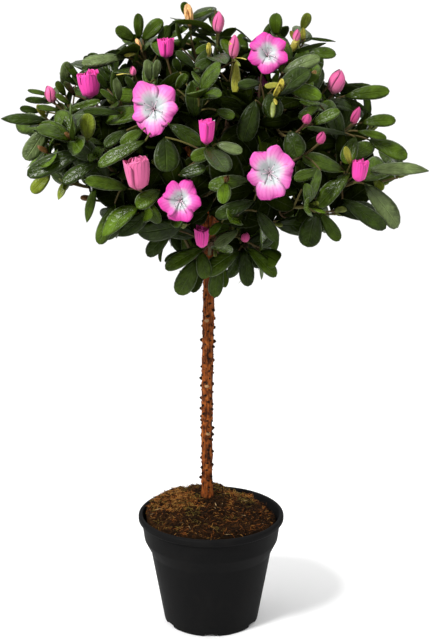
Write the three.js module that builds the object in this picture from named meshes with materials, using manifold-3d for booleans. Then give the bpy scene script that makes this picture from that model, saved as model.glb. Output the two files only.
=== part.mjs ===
// A standard azalea in its nursery pot: one bare stem, a head of short boughs and a wide dome
// of leafy shoots with open flowers and buds. Millimetres, +Z up, the front of the plant is -Y.
// The origin is the middle of the pot's flat underside.
import * as THREE from "three";
import { mergeVertices } from "three/addons/utils/BufferGeometryUtils.js";
import Module from "manifold-3d";

const wasm = await Module();
wasm.setup();

// Driving sizes of the pot
const POT_HEIGHT = 117;
const RIM_RADIUS = 75;
const BASE_RADIUS = 48.8;
const BODY_TOP = { radius: 62.2, height: 76 };
const COLLAR_FOOT = { radius: 69.1, height: 90 };
const COLLAR_TOP = { radius: 71.6, height: 109.5 };
const WALL = 1.5;
const FLOOR = 3.4;
const FOOT_BEVEL = 0.8;
const LIP = { shoulder: 0.7, rise: 1, widestBelow: 4.4, edgeBelow: 0.7, innerBelow: 1.4 };
const INNER_RAISE = 0.6;
const POT_SIDES = 36;
const NOTCHES = 6;
const NOTCH = { width: 16, depth: 12, height: 2.2 };
const DRAIN = { radius: 3, inset: 7, sides: 8 };
const GAP = 0.3;
const TOUCHING = 0.001;

// Driving sizes of the root ball
const SOIL_EDGE_DROP = 5;
const SOIL_DROP_SHARE = { even: 0.35, backRight: 1.3 };
const MOUND_RISE = 8.7;
const MOUND_SPREAD = 46;
const LEVEL_ROUND_FOOT = 14;
const SOIL_LUMP = 1.6;
const SOIL_PAST_FOOT = 2;
const SOIL_SIDES = 28;
const SOIL_RINGS = [0.98, 0.84, 0.66, 0.48, 0.3, 0.13];

// Driving sizes of the stem, from the flat cut at the soil to its tip inside the crown
const FOOT = new THREE.Vector3(-4, 20, POT_HEIGHT + 9);
const STEM_LINE = [
  FOOT,
  new THREE.Vector3(-4.4, 18, 200),
  new THREE.Vector3(-3.2, 13, 290),
  new THREE.Vector3(-1.5, 6, 380),
  new THREE.Vector3(0, 0, 472),
];
const STEM_RADIUS = 5.3;
const FLARE = { radius: 3.2, height: 9 };
const STEM_TIP_RADIUS = 2.6;
const STEM_SIDES = 8;
const STEM_RISES = [0, 4, 10, 20, 60, 120, 190, 262, 290, 320, 346];
const HEAD_BOTTOM = 394;

// Driving sizes of the crown: its heart, and how far the shoots' tips stand from it. Each row is
// an elevation in degrees with the reach on the left and on the right side of the plant.
const HEART = new THREE.Vector3(0, 0, 449);
const EYE = new THREE.Vector3(3.5, -1250, 636);
const TIP_REACH = [
  [-90, 76, 76],
  [-60, 73, 75],
  [-40, 68, 74],
  [-25, 70, 78],
  [-12, 92, 106],
  [-6, 110, 136],
  [0, 128, 168],
  [8, 154, 184],
  [14, 170, 186],
  [22, 186, 178],
  [30, 174, 168],
  [42, 167, 156],
  [56, 166, 158],
  [70, 159, 152],
  [90, 154, 154],
];
const LEAF_MARGIN = 38;
const DEPTH_SHARE = 0.96;
const SHOOT_GAP = 36;
const SPREAD_SHOOTS = 210;
const TIP_DEPTH = { least: 0.9, most: 1.02 };
const INNER_SHOOTS = { count: 26, depth: 0.6 };
const LOWEST_ELEVATION = -64;
const LOWEST_RISE = -0.2;
const SHOOT_LIFT = 0.25;
const FACING_FRONT = 0.1;
const GOLDEN_ANGLE = Math.PI * (3 - Math.sqrt(5));

// Rings of foliage masses: how many, their elevation, the azimuth of the first, and the height
// on the stem where their boughs start. A ring with no height stands on the stem itself.
const RINGS = [
  { name: "top", count: 1, elevation: 90, azimuth: 0 },
  { name: "upper", count: 4, elevation: 50, azimuth: -35, boughFrom: 441 },
  { name: "lower", count: 6, elevation: 13, azimuth: 12, boughFrom: 398 },
  { name: "under", count: 3, elevation: -50, azimuth: 0 },
];
const BOUGH = {
  reach: 0.42,
  startRadius: 3.1,
  endRadius: 2.2,
  stemShare: 0.86,
  rise: 6.5,
  arch: 6,
  archAt: 0.45,
  sides: 6,
  steps: 4,
};
const UNDER_BOUGH = { drop: 7, rise: 4 };
const STEM_OF_MASS = { reach: 0.74, startRadius: 2.3, endRadius: 1.3, sides: 5, swing: 0.4 };
const TWIG_STARTS = { first: 0.3, last: 0.97 };
const TWIG = { startRadius: 1.7, endRadius: 1.3, rootShare: 0.3, sides: 3, swing: 0.5 };
const KNOB = { radius: 3.6, neck: 5, point: 3 };
const BORDER = 0.4;
const LEAF = { length: 49, widthShare: 0.46, thickness: 1.5, count: 5, pitch: 66, turn: 144 };
const LEAF_SPREAD = { turn: 16, pitch: 22, shortest: 0.82, lengths: 0.36 };
const LEAF_ROOT_OUT = 0.3;
const LEAF_LIMB_ROOM = 2;
const LEAF_SHAPE = { peak: 0.55, widest: 0.6, tip: 0.95, tipShare: 0.4, droop: 0.03 };
const LEAF_TRIES = [
  { steeper: 0, shorter: 1, turned: 0 },
  { steeper: 8, shorter: 0.96, turned: 16 },
  { steeper: 8, shorter: 0.96, turned: -16 },
  { steeper: 20, shorter: 0.9, turned: 0 },
  { steeper: 34, shorter: 0.8, turned: 10 },
  { steeper: 46, shorter: 0.68, turned: 0 },
];
const FLOWER_LEAF_PITCH = 84;

// What a shoot ends in. Radius and length of the bloom, and the room that it needs at a border.
const BLOOMS = {
  open: { radius: 23, length: 22, room: 24 },
  cup: { radius: 11, length: 26, room: 14 },
  bud: { radius: 6.5, length: 19, room: 12 },
  sheath: { radius: 3.6, length: 15, room: 12, knobDrawnOut: true },
  leaf: { radius: 3, length: 7, room: 12, knobDrawnOut: true },
};
const BELLY = 0.45;
const CUP_SHAPE = { belly: 0.3, bellyWidth: 0.62, hollow: 0.7 };

// How often a shoot on the hidden side bears an open flower, a cup or a bud, each with those
// before it, and how often one with no flower bud ends in a long sheath
const HIDDEN_LUCK = { open: 0.08, cup: 0.2, bud: 0.32 };
const SHEATH_LUCK = 0.6;

// Corners of one lobe of an open flower: share of the lobe's turn, reach and drop below the rim
const LOBES = 5;
const LOBE_CORNERS = [
  { share: -0.28, reach: 1, drop: 0 },
  { share: 0.28, reach: 1, drop: 0 },
  { share: 0.5, reach: 0.66, drop: 3 },
];
const THROAT = 0.45;

// Blooms at the front, as they stand across and above the stem when seen from the front
const FRONT_BLOOMS = [
  ["open", -55, 530],
  ["open", 54, 581],
  ["open", 57, 468],
  ["open", -30, 441],
  ["cup", -116, 552],
  ["cup", -71, 467],
  ["cup", -42, 586],
  ["cup", -4, 507],
  ["cup", -9, 405],
  ["cup", 144, 470],
  ["bud", 120, 555],
  ["bud", 139, 523],
  ["bud", 106, 502],
  ["bud", 92, 520],
  ["bud", -153, 543],
  ["bud", 34, 405],
  ["bud", 22, 588],
  ["sheath", 7, 610],
  ["sheath", -20, 617],
  ["sheath", -67, 591],
  ["sheath", -74, 565],
  ["sheath", -12, 547],
  ["sheath", 81, 598],
  ["sheath", 62, 550],
  ["sheath", -160, 520],
  ["sheath", -159, 494],
];

const radians = THREE.MathUtils.degToRad;
const mix = THREE.MathUtils.lerp;

// Repeatable random numbers from 0 to 1
function seeded(seed) {
  let state = (seed * 7919 + 17) % 2147483647;
  const draw = () => {
    state = (state * 48271) % 2147483647;
    return state / 2147483647;
  };
  draw();
  return draw;
}

// A unit vector by azimuth, 0 at the front and growing towards +X, and elevation, in degrees
function direction(azimuth, elevation) {
  const flat = Math.cos(radians(elevation));
  return new THREE.Vector3(
    Math.sin(radians(azimuth)) * flat,
    -Math.cos(radians(azimuth)) * flat,
    Math.sin(radians(elevation)),
  );
}

// Two unit vectors square to an axis and to each other
function across(axis) {
  const rough = Math.abs(axis.z) < 0.9 ? new THREE.Vector3(0, 0, 1) : new THREE.Vector3(1, 0, 0);
  const first = new THREE.Vector3().crossVectors(rough, axis).normalize();
  return [first, new THREE.Vector3().crossVectors(axis, first)];
}

// A closed solid from shared points and triangles that face out
function solidFrom(points, faces) {
  return new wasm.Manifold(
    new wasm.Mesh({
      numProp: 3,
      vertProperties: Float32Array.from(points.flatMap((p) => [p.x, p.y, p.z])),
      triVerts: Uint32Array.from(faces.flat()),
    }),
  );
}

// A closed geometry as a solid, with corners that all but touch made one
function solidOf(geometry) {
  geometry.deleteAttribute("normal");
  geometry.deleteAttribute("uv");
  const merged = mergeVertices(geometry, TOUCHING);
  return new wasm.Manifold(
    new wasm.Mesh({
      numProp: 3,
      vertProperties: merged.attributes.position.array,
      triVerts: Uint32Array.from(merged.index.array),
    }),
  );
}

function geometryOf(solid) {
  const made = solid.getMesh();
  const geometry = new THREE.BufferGeometry();
  geometry.setAttribute("position", new THREE.BufferAttribute(made.vertProperties, 3));
  geometry.setIndex(new THREE.BufferAttribute(made.triVerts, 1));
  return geometry;
}

// The largest body of a solid, so that loose scraps and sealed hollows are left out, also those
// that come of joining corners
function mainBody(solid) {
  const largest = (whole) =>
    whole.decompose().reduce((best, body) => (body.volume() > best.volume() ? body : best));
  return largest(solidOf(geometryOf(largest(solid))));
}

function fused(solids) {
  let rest = solids;
  while (rest.length > 1) {
    const paired = [];
    for (let i = 0; i < rest.length; i += 2) {
      paired.push(i + 1 < rest.length ? rest[i].add(rest[i + 1]) : rest[i]);
    }
    rest = paired;
  }
  return rest[0];
}

function meshOf(name, solid, material) {
  const geometry = geometryOf(solid);
  geometry.computeVertexNormals();
  const mesh = new THREE.Mesh(geometry, material);
  mesh.name = name;
  return mesh;
}

// Triangles between two rings of points, and from a ring to one point
function band(low, high, sides) {
  return Array.from({ length: sides }, (_, j) => {
    const next = (j + 1) % sides;
    return [
      [low + j, low + next, high + next],
      [low + j, high + next, high + j],
    ];
  }).flat();
}
const fanUp = (ring, tip, sides) =>
  Array.from({ length: sides }, (_, j) => [ring + j, ring + ((j + 1) % sides), tip]);
const fanDown = (ring, tip, sides) => fanUp(ring, tip, sides).map(([a, b, c]) => [b, a, c]);

// A tapering limb along a line of points. An end is flat, or a point where its radius is 0.
function limbSolid({ points, radii, sides }) {
  const vertices = [];
  const faces = [];
  const last = points.length - 1;
  const reference = across(points[last].clone().sub(points[0]).normalize())[0];
  let before = 0;
  points.forEach((point, i) => {
    const here = vertices.length;
    if (radii[i] === 0) {
      vertices.push(point);
      if (i === last) faces.push(...fanUp(before, here, sides));
      return;
    }
    const along = points[Math.min(i + 1, last)].clone().sub(points[Math.max(i - 1, 0)]).normalize();
    const u = reference.clone().addScaledVector(along, -reference.dot(along)).normalize();
    const v = new THREE.Vector3().crossVectors(along, u);
    for (let j = 0; j < sides; j += 1) {
      const turn = (2 * Math.PI * j) / sides;
      const corner = point.clone().addScaledVector(u, radii[i] * Math.cos(turn));
      vertices.push(corner.addScaledVector(v, radii[i] * Math.sin(turn)));
    }
    if (i > 0 && radii[i - 1] === 0) faces.push(...fanDown(here, before, sides));
    else if (i > 0) faces.push(...band(before, here, sides));
    for (let j = 1; j < sides - 1; j += 1) {
      if (i === 0) faces.push([here, here + j + 1, here + j]);
      if (i === last) faces.push([here, here + j, here + j + 1]);
    }
    before = here;
  });
  return solidFrom(vertices, faces);
}

// A bud-like body round an axis: [height, radius] from its foot to its top, ends on the axis
function spindle(foot, axis, profile, sides) {
  const [u, v] = across(axis);
  const vertices = [foot.clone().addScaledVector(axis, profile[0][0])];
  const faces = fanDown(1, 0, sides);
  const rings = profile.slice(1, -1);
  rings.forEach(([height, radius], i) => {
    for (let j = 0; j < sides; j += 1) {
      const turn = (2 * Math.PI * j) / sides;
      const corner = foot.clone().addScaledVector(axis, height);
      corner.addScaledVector(u, radius * Math.cos(turn));
      vertices.push(corner.addScaledVector(v, radius * Math.sin(turn)));
    }
    if (i > 0) faces.push(...band(1 + (i - 1) * sides, 1 + i * sides, sides));
  });
  vertices.push(foot.clone().addScaledVector(axis, profile.at(-1)[0]));
  faces.push(...fanUp(1 + (rings.length - 1) * sides, vertices.length - 1, sides));
  return solidFrom(vertices, faces);
}

// Points along a curve that leaves a in the direction of b and ends at c
function bend(a, b, c, steps) {
  return new THREE.QuadraticBezierCurve3(a, b, c).getPoints(steps);
}

function tapering(points, startRadius, endRadius, sides) {
  const radii = points.map((_, i) => mix(startRadius, endRadius, i / (points.length - 1)));
  return { points, radii, sides };
}

// Pot: thin plastic wall, a straight collar under a rolled lip, and notched drains in the floor
function potSolid() {
  const inner = ({ radius, height }) => [radius - WALL, height + INNER_RAISE];
  const lip = RIM_RADIUS - COLLAR_TOP.radius;
  const profile = [
    [0, 0],
    [BASE_RADIUS - FOOT_BEVEL, 0],
    [BASE_RADIUS, FOOT_BEVEL],
    [BODY_TOP.radius, BODY_TOP.height],
    [COLLAR_FOOT.radius, COLLAR_FOOT.height],
    [COLLAR_TOP.radius, COLLAR_TOP.height],
    [COLLAR_TOP.radius + LIP.shoulder * lip, COLLAR_TOP.height + LIP.rise],
    [RIM_RADIUS, POT_HEIGHT - LIP.widestBelow],
    [COLLAR_TOP.radius + LIP.shoulder * lip, POT_HEIGHT - LIP.edgeBelow],
    [COLLAR_TOP.radius, POT_HEIGHT],
    [COLLAR_TOP.radius - WALL, POT_HEIGHT - LIP.innerBelow],
    inner(COLLAR_FOOT),
    inner(BODY_TOP),
    [BASE_RADIUS - WALL + INNER_RAISE, FLOOR],
    [0, FLOOR],
  ].map(([radius, height]) => new THREE.Vector2(radius, height));
  const shell = solidOf(new THREE.LatheGeometry(profile, POT_SIDES).rotateX(Math.PI / 2));
  const cuts = Array.from({ length: NOTCHES }, (_, i) => {
    const turn = (2 * Math.PI * (i + 0.5)) / NOTCHES;
    const notch = new THREE.BoxGeometry(NOTCH.depth * 2, NOTCH.width, NOTCH.height * 2);
    const drain = new THREE.CylinderGeometry(DRAIN.radius, DRAIN.radius, FLOOR * 3, DRAIN.sides);
    notch.translate(BASE_RADIUS, 0, 0).rotateZ(turn);
    drain.rotateX(Math.PI / 2).translate(BASE_RADIUS - DRAIN.inset, 0, 0).rotateZ(turn);
    return solidOf(notch).add(solidOf(drain));
  });
  return shell.subtract(fused(cuts));
}

// Height of the soil: it drops at the rim, most at the back right, and rises round the stem
function soilHeight(x, y, draw) {
  const fromFoot = Math.hypot(x - FOOT.x, y - FOOT.y);
  if (fromFoot < LEVEL_ROUND_FOOT) return FOOT.z - GAP;
  const edge = Math.min(1, Math.hypot(x, y) / (COLLAR_TOP.radius - WALL));
  const backRight = Math.max(0, (x + y) / (2 * RIM_RADIUS));
  const mound = MOUND_RISE * Math.exp(-(((fromFoot - LEVEL_ROUND_FOOT) / MOUND_SPREAD) ** 2));
  const { even, backRight: more } = SOIL_DROP_SHARE;
  const drop = SOIL_EDGE_DROP * edge ** 4 * (even + more * backRight);
  return POT_HEIGHT + mound - drop + SOIL_LUMP * (draw() - 0.5);
}

// Root ball: fills the pot a gap clear of its wall, with a lumpy, mounded top
function soilSolid() {
  const draw = seeded(5);
  const wallRadius = (height) =>
    height < BODY_TOP.height
      ? mix(BASE_RADIUS, BODY_TOP.radius, height / BODY_TOP.height)
      : height < COLLAR_FOOT.height
        ? mix(
            BODY_TOP.radius,
            COLLAR_FOOT.radius,
            (height - BODY_TOP.height) / (COLLAR_FOOT.height - BODY_TOP.height),
          )
        : COLLAR_FOOT.radius;
  const side = [FLOOR + GAP, BODY_TOP.height, COLLAR_FOOT.height + SOIL_PAST_FOOT];
  const vertices = [new THREE.Vector3(0, 0, side[0])];
  const ring = (radius, height) => {
    for (let j = 0; j < SOIL_SIDES; j += 1) {
      const turn = (2 * Math.PI * j) / SOIL_SIDES;
      const x = radius * Math.cos(turn);
      const y = radius * Math.sin(turn);
      vertices.push(new THREE.Vector3(x, y, height ?? soilHeight(x, y, draw)));
    }
  };
  const clear = WALL + 3 * GAP;
  side.forEach((height) => ring(wallRadius(height) - clear, height));
  SOIL_RINGS.forEach((share) => ring(share * (COLLAR_FOOT.radius - clear)));
  vertices.push(new THREE.Vector3(0, 0, soilHeight(0, 0, draw)));
  const rings = (vertices.length - 2) / SOIL_SIDES;
  const faces = fanDown(1, 0, SOIL_SIDES);
  for (let i = 1; i < rings; i += 1) {
    faces.push(...band(1 + (i - 1) * SOIL_SIDES, 1 + i * SOIL_SIDES, SOIL_SIDES));
  }
  faces.push(...fanUp(1 + (rings - 1) * SOIL_SIDES, vertices.length - 1, SOIL_SIDES));
  return solidFrom(vertices, faces);
}

// Stem: an even rod that leans a little, flares at the soil and tapers inside the crown
const stemCurve = new THREE.CatmullRomCurve3(STEM_LINE);
function stemRadius(height) {
  const flare = FLARE.radius * Math.exp(-(height - FOOT.z) / FLARE.height);
  const top = Math.max(0, (height - HEAD_BOTTOM) / (STEM_LINE.at(-1).z - HEAD_BOTTOM));
  return mix(STEM_RADIUS, STEM_TIP_RADIUS, top) + flare;
}
function stemPoint(height) {
  let low = 0;
  let high = 1;
  for (let i = 0; i < 24; i += 1) {
    const middle = (low + high) / 2;
    if (stemCurve.getPoint(middle).z < height) low = middle;
    else high = middle;
  }
  return stemCurve.getPoint(low);
}
function stemLimb() {
  const points = STEM_RISES.map((rise) => stemPoint(FOOT.z + rise));
  points[0].copy(FOOT);
  const radii = points.map((point) => stemRadius(point.z));
  return { points, radii, sides: STEM_SIDES };
}

// How far the shoots' tips stand from the heart in a direction
function tipReach(way) {
  const elevation = THREE.MathUtils.radToDeg(Math.asin(THREE.MathUtils.clamp(way.z, -1, 1)));
  const next = Math.max(1, TIP_REACH.findIndex(([angle]) => angle >= elevation));
  const [low, high] = [TIP_REACH[next - 1], TIP_REACH[next]];
  const share = (elevation - low[0]) / (high[0] - low[0]);
  const rightward = 0.5 + 0.5 * way.x;
  const left = mix(low[1], high[1], share);
  const right = mix(low[2], high[2], share);
  return mix(left, right, rightward) * mix(1, DEPTH_SHARE, way.y * way.y);
}

// Where the line of sight through a place across the stem's plane first meets the tips' surface,
// tried in small steps, each a share of the way from the eye to that plane
const SIGHT = { from: 0.8, to: 1.15, step: 0.002 };
function seenOnCrown(acrossStem, up) {
  const sight = new THREE.Vector3(acrossStem, 0, up).sub(EYE);
  let nearest = { miss: Infinity, point: null };
  for (let share = SIGHT.from; share < SIGHT.to; share += SIGHT.step) {
    const point = EYE.clone().addScaledVector(sight, share);
    const out = point.clone().sub(HEART);
    const miss = out.length() - tipReach(out.clone().normalize());
    if (miss < nearest.miss) nearest = { miss, point };
    if (miss < 0) break;
  }
  return nearest.point;
}

// Foliage masses, each with its own way out from the heart and the cone of space round it
const masses = RINGS.flatMap((ring) =>
  Array.from({ length: ring.count }, (_, i) => {
    const azimuth = ring.azimuth + (360 * i) / ring.count;
    const suffix = ring.count > 1 ? `_${i + 1}` : "";
    return {
      name: `foliage_${ring.name}${suffix}`,
      boughName: ring.boughFrom ? `bough_${ring.name}${suffix}` : null,
      ring,
      place: i,
      way: direction(azimuth, ring.elevation),
      shoots: [],
    };
  }),
);

// Planes between a mass and its neighbours, all through the heart
for (const mass of masses) {
  mass.borders = masses
    .filter((other) => other !== mass)
    .map((other) => mass.way.clone().sub(other.way).normalize());
}
const borderRoom = (mass, point) => {
  const out = point.clone().sub(HEART);
  return Math.min(...mass.borders.map((normal) => normal.dot(out)));
};

// Whether a point of a leaf is inside its mass's borders and inside the crown's outline
function inSpace(mass, point) {
  const out = point.clone().sub(HEART);
  const reach = out.length();
  const inOutline = reach < tipReach(out.normalize()) + LEAF_MARGIN;
  return inOutline && borderRoom(mass, point) > BORDER;
}

// Moves a point into its mass's space until it has the room that it needs at each border
function drawIn(mass, point, room) {
  const moved = point.clone();
  for (let round = 0; round < 3; round += 1) {
    for (const normal of mass.borders) {
      const short = room - normal.dot(moved.clone().sub(HEART));
      if (short > 0) moved.addScaledVector(normal, short);
    }
  }
  return moved;
}

// One of a number of ways spread evenly over a ball, from the top down
function evenWay(i, count, turn) {
  const rise = 1 - (2 * (i + 0.5)) / count;
  const flat = Math.sqrt(1 - rise * rise);
  return new THREE.Vector3(Math.cos(turn) * flat, Math.sin(turn) * flat, rise);
}

// Shoots: the blooms seen at the front, then even ones over the rest of the crown
function placeShoots() {
  const tipAlong = (way, depth) => HEART.clone().addScaledVector(way, tipReach(way) * depth);
  const shoots = FRONT_BLOOMS.map(([kind, acrossStem, up]) => ({
    kind,
    tip: seenOnCrown(acrossStem, up),
  }));
  const eyeWay = EYE.clone().sub(HEART).normalize();
  const draw = seeded(3);
  for (let i = 0; i < SPREAD_SHOOTS; i += 1) {
    const way = evenWay(i, SPREAD_SHOOTS, i * GOLDEN_ANGLE + 0.5 * draw());
    const tip = tipAlong(way, mix(TIP_DEPTH.least, TIP_DEPTH.most, draw()));
    const luck = draw();
    if (way.z < Math.sin(radians(LOWEST_ELEVATION))) continue;
    if (shoots.some((other) => other.tip.distanceTo(tip) < SHOOT_GAP)) continue;
    const hidden = way.dot(eyeWay) <= FACING_FRONT && way.z > LOWEST_RISE;
    const bloomed = Object.keys(HIDDEN_LUCK).find((kind) => luck < HIDDEN_LUCK[kind]);
    const kind = (hidden && bloomed) || (luck < SHEATH_LUCK ? "sheath" : "leaf");
    shoots.push({ kind, tip });
  }
  for (let i = 0; i < INNER_SHOOTS.count; i += 1) {
    const way = evenWay(i, INNER_SHOOTS.count, i * GOLDEN_ANGLE);
    if (way.z < LOWEST_RISE) continue;
    shoots.push({ kind: "leaf", tip: tipAlong(way, INNER_SHOOTS.depth) });
  }
  shoots.forEach((shoot, i) => {
    const way = shoot.tip.clone().sub(HEART).normalize();
    const mass = masses.reduce((best, other) =>
      other.way.dot(way) > best.way.dot(way) ? other : best,
    );
    shoot.seed = 100 + i;
    shoot.tip = drawIn(mass, shoot.tip, BLOOMS[shoot.kind].room);
    shoot.way = shoot.tip.clone().sub(HEART).normalize();
    shoot.way.add(new THREE.Vector3(0, 0, SHOOT_LIFT)).normalize();
    mass.shoots.push(shoot);
  });
}
placeShoots();

// Boughs: each leaves the stem low and bends out to where its mass of foliage starts. Those of a
// ring leave it one above the other, every second one of the ring first.
for (const mass of masses) {
  const { ring, way, place } = mass;
  if (ring.boughFrom) {
    const order = place % 2 === 0 ? place / 2 : (place - 1 + ring.count) / 2;
    const from = stemPoint(ring.boughFrom + BOUGH.rise * order);
    const to = HEART.clone().addScaledVector(way, BOUGH.reach * tipReach(way));
    const turn = from.clone().lerp(to, BOUGH.archAt).add(new THREE.Vector3(0, 0, BOUGH.arch));
    const startRadius = Math.min(BOUGH.startRadius, BOUGH.stemShare * stemRadius(from.z));
    mass.bough = tapering(bend(from, turn, to, BOUGH.steps), startRadius, BOUGH.endRadius, BOUGH.sides);
    mass.start = to;
    mass.startWay = to.clone().sub(turn).normalize();
  } else if (ring.name === "top") {
    mass.start = STEM_LINE.at(-1).clone();
    mass.startWay = new THREE.Vector3(0, 0, 1);
  } else {
    mass.start = stemPoint(HEAD_BOTTOM - UNDER_BOUGH.drop * (place + 1));
    mass.startWay = direction(ring.azimuth + (360 * place) / ring.count, UNDER_BOUGH.rise);
  }
}
const boughs = masses.filter((mass) => mass.bough).map((mass) => mass.bough);
const limbs = [stemLimb(), ...boughs];

// A limb a gap larger all round, also past its tip, for what has to stay clear of it
function swollen({ points, radii, sides }) {
  const [before, tip] = points.slice(-2);
  const past = tip.clone().addScaledVector(tip.clone().sub(before).normalize(), GAP);
  const wider = radii.map((radius) => radius + GAP);
  return limbSolid({ points: [...points.slice(0, -1), past], radii: wider, sides });
}
const stemSpace = swollen(stemLimb());
const limbSpace = fused([stemSpace, ...boughs.map(swollen)]);

// Distance from a point to the nearest limb's surface
function limbRoom(point) {
  let least = Infinity;
  const line = new THREE.Line3();
  const nearest = new THREE.Vector3();
  for (const { points, radii } of limbs) {
    for (let i = 1; i < points.length; i += 1) {
      line.set(points[i - 1], points[i]).closestPointToPoint(point, true, nearest);
      least = Math.min(least, nearest.distanceTo(point) - Math.max(radii[i - 1], radii[i]));
    }
  }
  return least;
}

// Leaf: egg-shaped with its wide end out, thickest in its middle, its tip bent down a little
function leafPoints(root, along, face, length) {
  const side = new THREE.Vector3().crossVectors(face, along);
  const at = (share, sideways, lift) =>
    root
      .clone()
      .addScaledVector(along, share * length)
      .addScaledVector(side, sideways * LEAF.widthShare * length)
      .addScaledVector(face, lift);
  const { peak, widest, tip, tipShare, droop } = LEAF_SHAPE;
  return [
    root.clone(),
    at(widest, -0.5, 0),
    at(tip, -0.5 * tipShare, -droop * length),
    at(tip, 0.5 * tipShare, -droop * length),
    at(widest, 0.5, 0),
    at(peak, 0, LEAF.thickness),
  ];
}
const LEAF_TIP = 5;
const LEAF_FACES = [
  [0, 1, 5],
  [1, 2, 5],
  [2, 3, 5],
  [3, 4, 5],
  [4, 0, 5],
  [0, 4, 1],
  [4, 3, 2],
  [4, 2, 1],
];

// Whether two solids of a mass meet, each given with its box
const boxed = (solid) => ({ solid, box: solid.boundingBox() });
const apart = (a, b) => [0, 1, 2].some((i) => a.min[i] > b.max[i] || b.min[i] > a.max[i]);
const meets = (a, b) => !apart(a.box, b.box) && !a.solid.intersect(b.solid).isEmpty();

// Whorl of leaves round a shoot's tip. A leaf that would leave its mass's space, touch a limb or
// cross another shoot is tried turned, steeper and shorter, and is skipped if nothing fits.
function leafWhorl(mass, shoot, others) {
  const draw = seeded(shoot.seed);
  const [u, v] = across(shoot.way);
  const start = 360 * draw();
  const middlePitch = shoot.kind === "open" ? FLOWER_LEAF_PITCH : LEAF.pitch;
  const leaves = [];
  for (let k = 0; k < LEAF.count; k += 1) {
    const azimuth = start + k * LEAF.turn + LEAF_SPREAD.turn * (draw() - 0.5);
    const pitch = middlePitch + LEAF_SPREAD.pitch * (draw() - 0.5);
    const length = LEAF.length * (LEAF_SPREAD.shortest + LEAF_SPREAD.lengths * draw());
    for (const { steeper, shorter, turned } of LEAF_TRIES) {
      const turn = radians(azimuth + turned);
      const lean = radians(pitch - steeper);
      const out = u.clone().multiplyScalar(Math.cos(turn)).addScaledVector(v, Math.sin(turn));
      const along = shoot.way.clone().multiplyScalar(Math.cos(lean));
      along.addScaledVector(out, Math.sin(lean)).normalize();
      const face = shoot.way.clone().addScaledVector(along, -shoot.way.dot(along)).normalize();
      const root = shoot.tip.clone().addScaledVector(out, LEAF_ROOT_OUT);
      const points = leafPoints(root, along, face, length * shorter);
      const inside = points.every((point) => inSpace(mass, point));
      const halfway = points.slice(1, LEAF_TIP).map((point) => point.clone().lerp(points[LEAF_TIP], 0.5));
      const places = [...points, ...halfway];
      if (!inside || places.some((point) => limbRoom(point) < LEAF_LIMB_ROOM)) continue;
      const leaf = boxed(solidFrom(points, LEAF_FACES));
      if ([...others, ...leaves].some((other) => meets(leaf, other))) continue;
      leaves.push(leaf);
      break;
    }
  }
  return leaves;
}

// Twig to a shoot's tip, from a point inside the stem to the knob that carries the leaves. The
// knob of a shoot with no flower bud is drawn out to a leaf bud.
function shootTwig(from, shoot) {
  const { tip, way } = shoot;
  const { radius, length, knobDrawnOut } = BLOOMS[shoot.kind];
  const neck = tip.clone().addScaledVector(way, -KNOB.neck);
  const control = neck.clone().addScaledVector(way, -TWIG.swing * from.distanceTo(neck));
  const [root, middle] = bend(from, control, neck, 2);
  const outside = root.clone().lerp(middle, TWIG.rootShare);
  const points = [root, outside, middle, neck, tip];
  const { startRadius, endRadius } = TWIG;
  const radii = [0, startRadius, mix(startRadius, endRadius, 0.5), endRadius, KNOB.radius];
  if (shoot.kind === "sheath") {
    points.push(tip.clone().addScaledVector(way, BELLY * length));
    radii.push(radius);
  }
  points.push(tip.clone().addScaledVector(way, knobDrawnOut ? length : KNOB.point));
  radii.push(0);
  return limbSolid({ points, radii, sides: TWIG.sides });
}

// Flower or flower bud that stands on a shoot's knob, or none
function bloomSolids(shoot) {
  const { radius, length } = BLOOMS[shoot.kind];
  if (shoot.kind === "open") return [flowerSolid(shoot.tip, faceOf(shoot), radius, length)];
  if (shoot.kind === "cup") {
    const { belly, bellyWidth, hollow } = CUP_SHAPE;
    const side = [belly * length, bellyWidth * radius];
    const profile = [[0, 0], side, [length, radius], [hollow * length, 0]];
    return [spindle(shoot.tip, shoot.way, profile, 5)];
  }
  if (shoot.kind === "bud") {
    const profile = [[0, 0], [BELLY * length, radius], [length, 0]];
    return [spindle(shoot.tip, shoot.way, profile, 5)];
  }
  return [];
}

// An open flower turns a little towards the front and the light
function faceOf(shoot) {
  const forward = Math.max(0, -shoot.way.y);
  return shoot.way.clone().add(new THREE.Vector3(0, -0.5 * forward, 0)).normalize();
}

function flowerSolid(foot, axis, radius, length) {
  const [u, v] = across(axis);
  const rim = [];
  for (let lobe = 0; lobe < LOBES; lobe += 1) {
    for (const { share, reach, drop } of LOBE_CORNERS) {
      const turn = (2 * Math.PI * (lobe + share)) / LOBES;
      const corner = foot.clone().addScaledVector(axis, length - drop);
      corner.addScaledVector(u, reach * radius * Math.cos(turn));
      rim.push(corner.addScaledVector(v, reach * radius * Math.sin(turn)));
    }
  }
  const throat = foot.clone().addScaledVector(axis, THROAT * length);
  const tube = foot.clone().addScaledVector(axis, -1);
  const faces = [
    ...fanUp(0, rim.length, rim.length),
    ...fanDown(0, rim.length + 1, rim.length),
  ];
  return solidFrom([...rim, throat, tube], faces);
}

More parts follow.
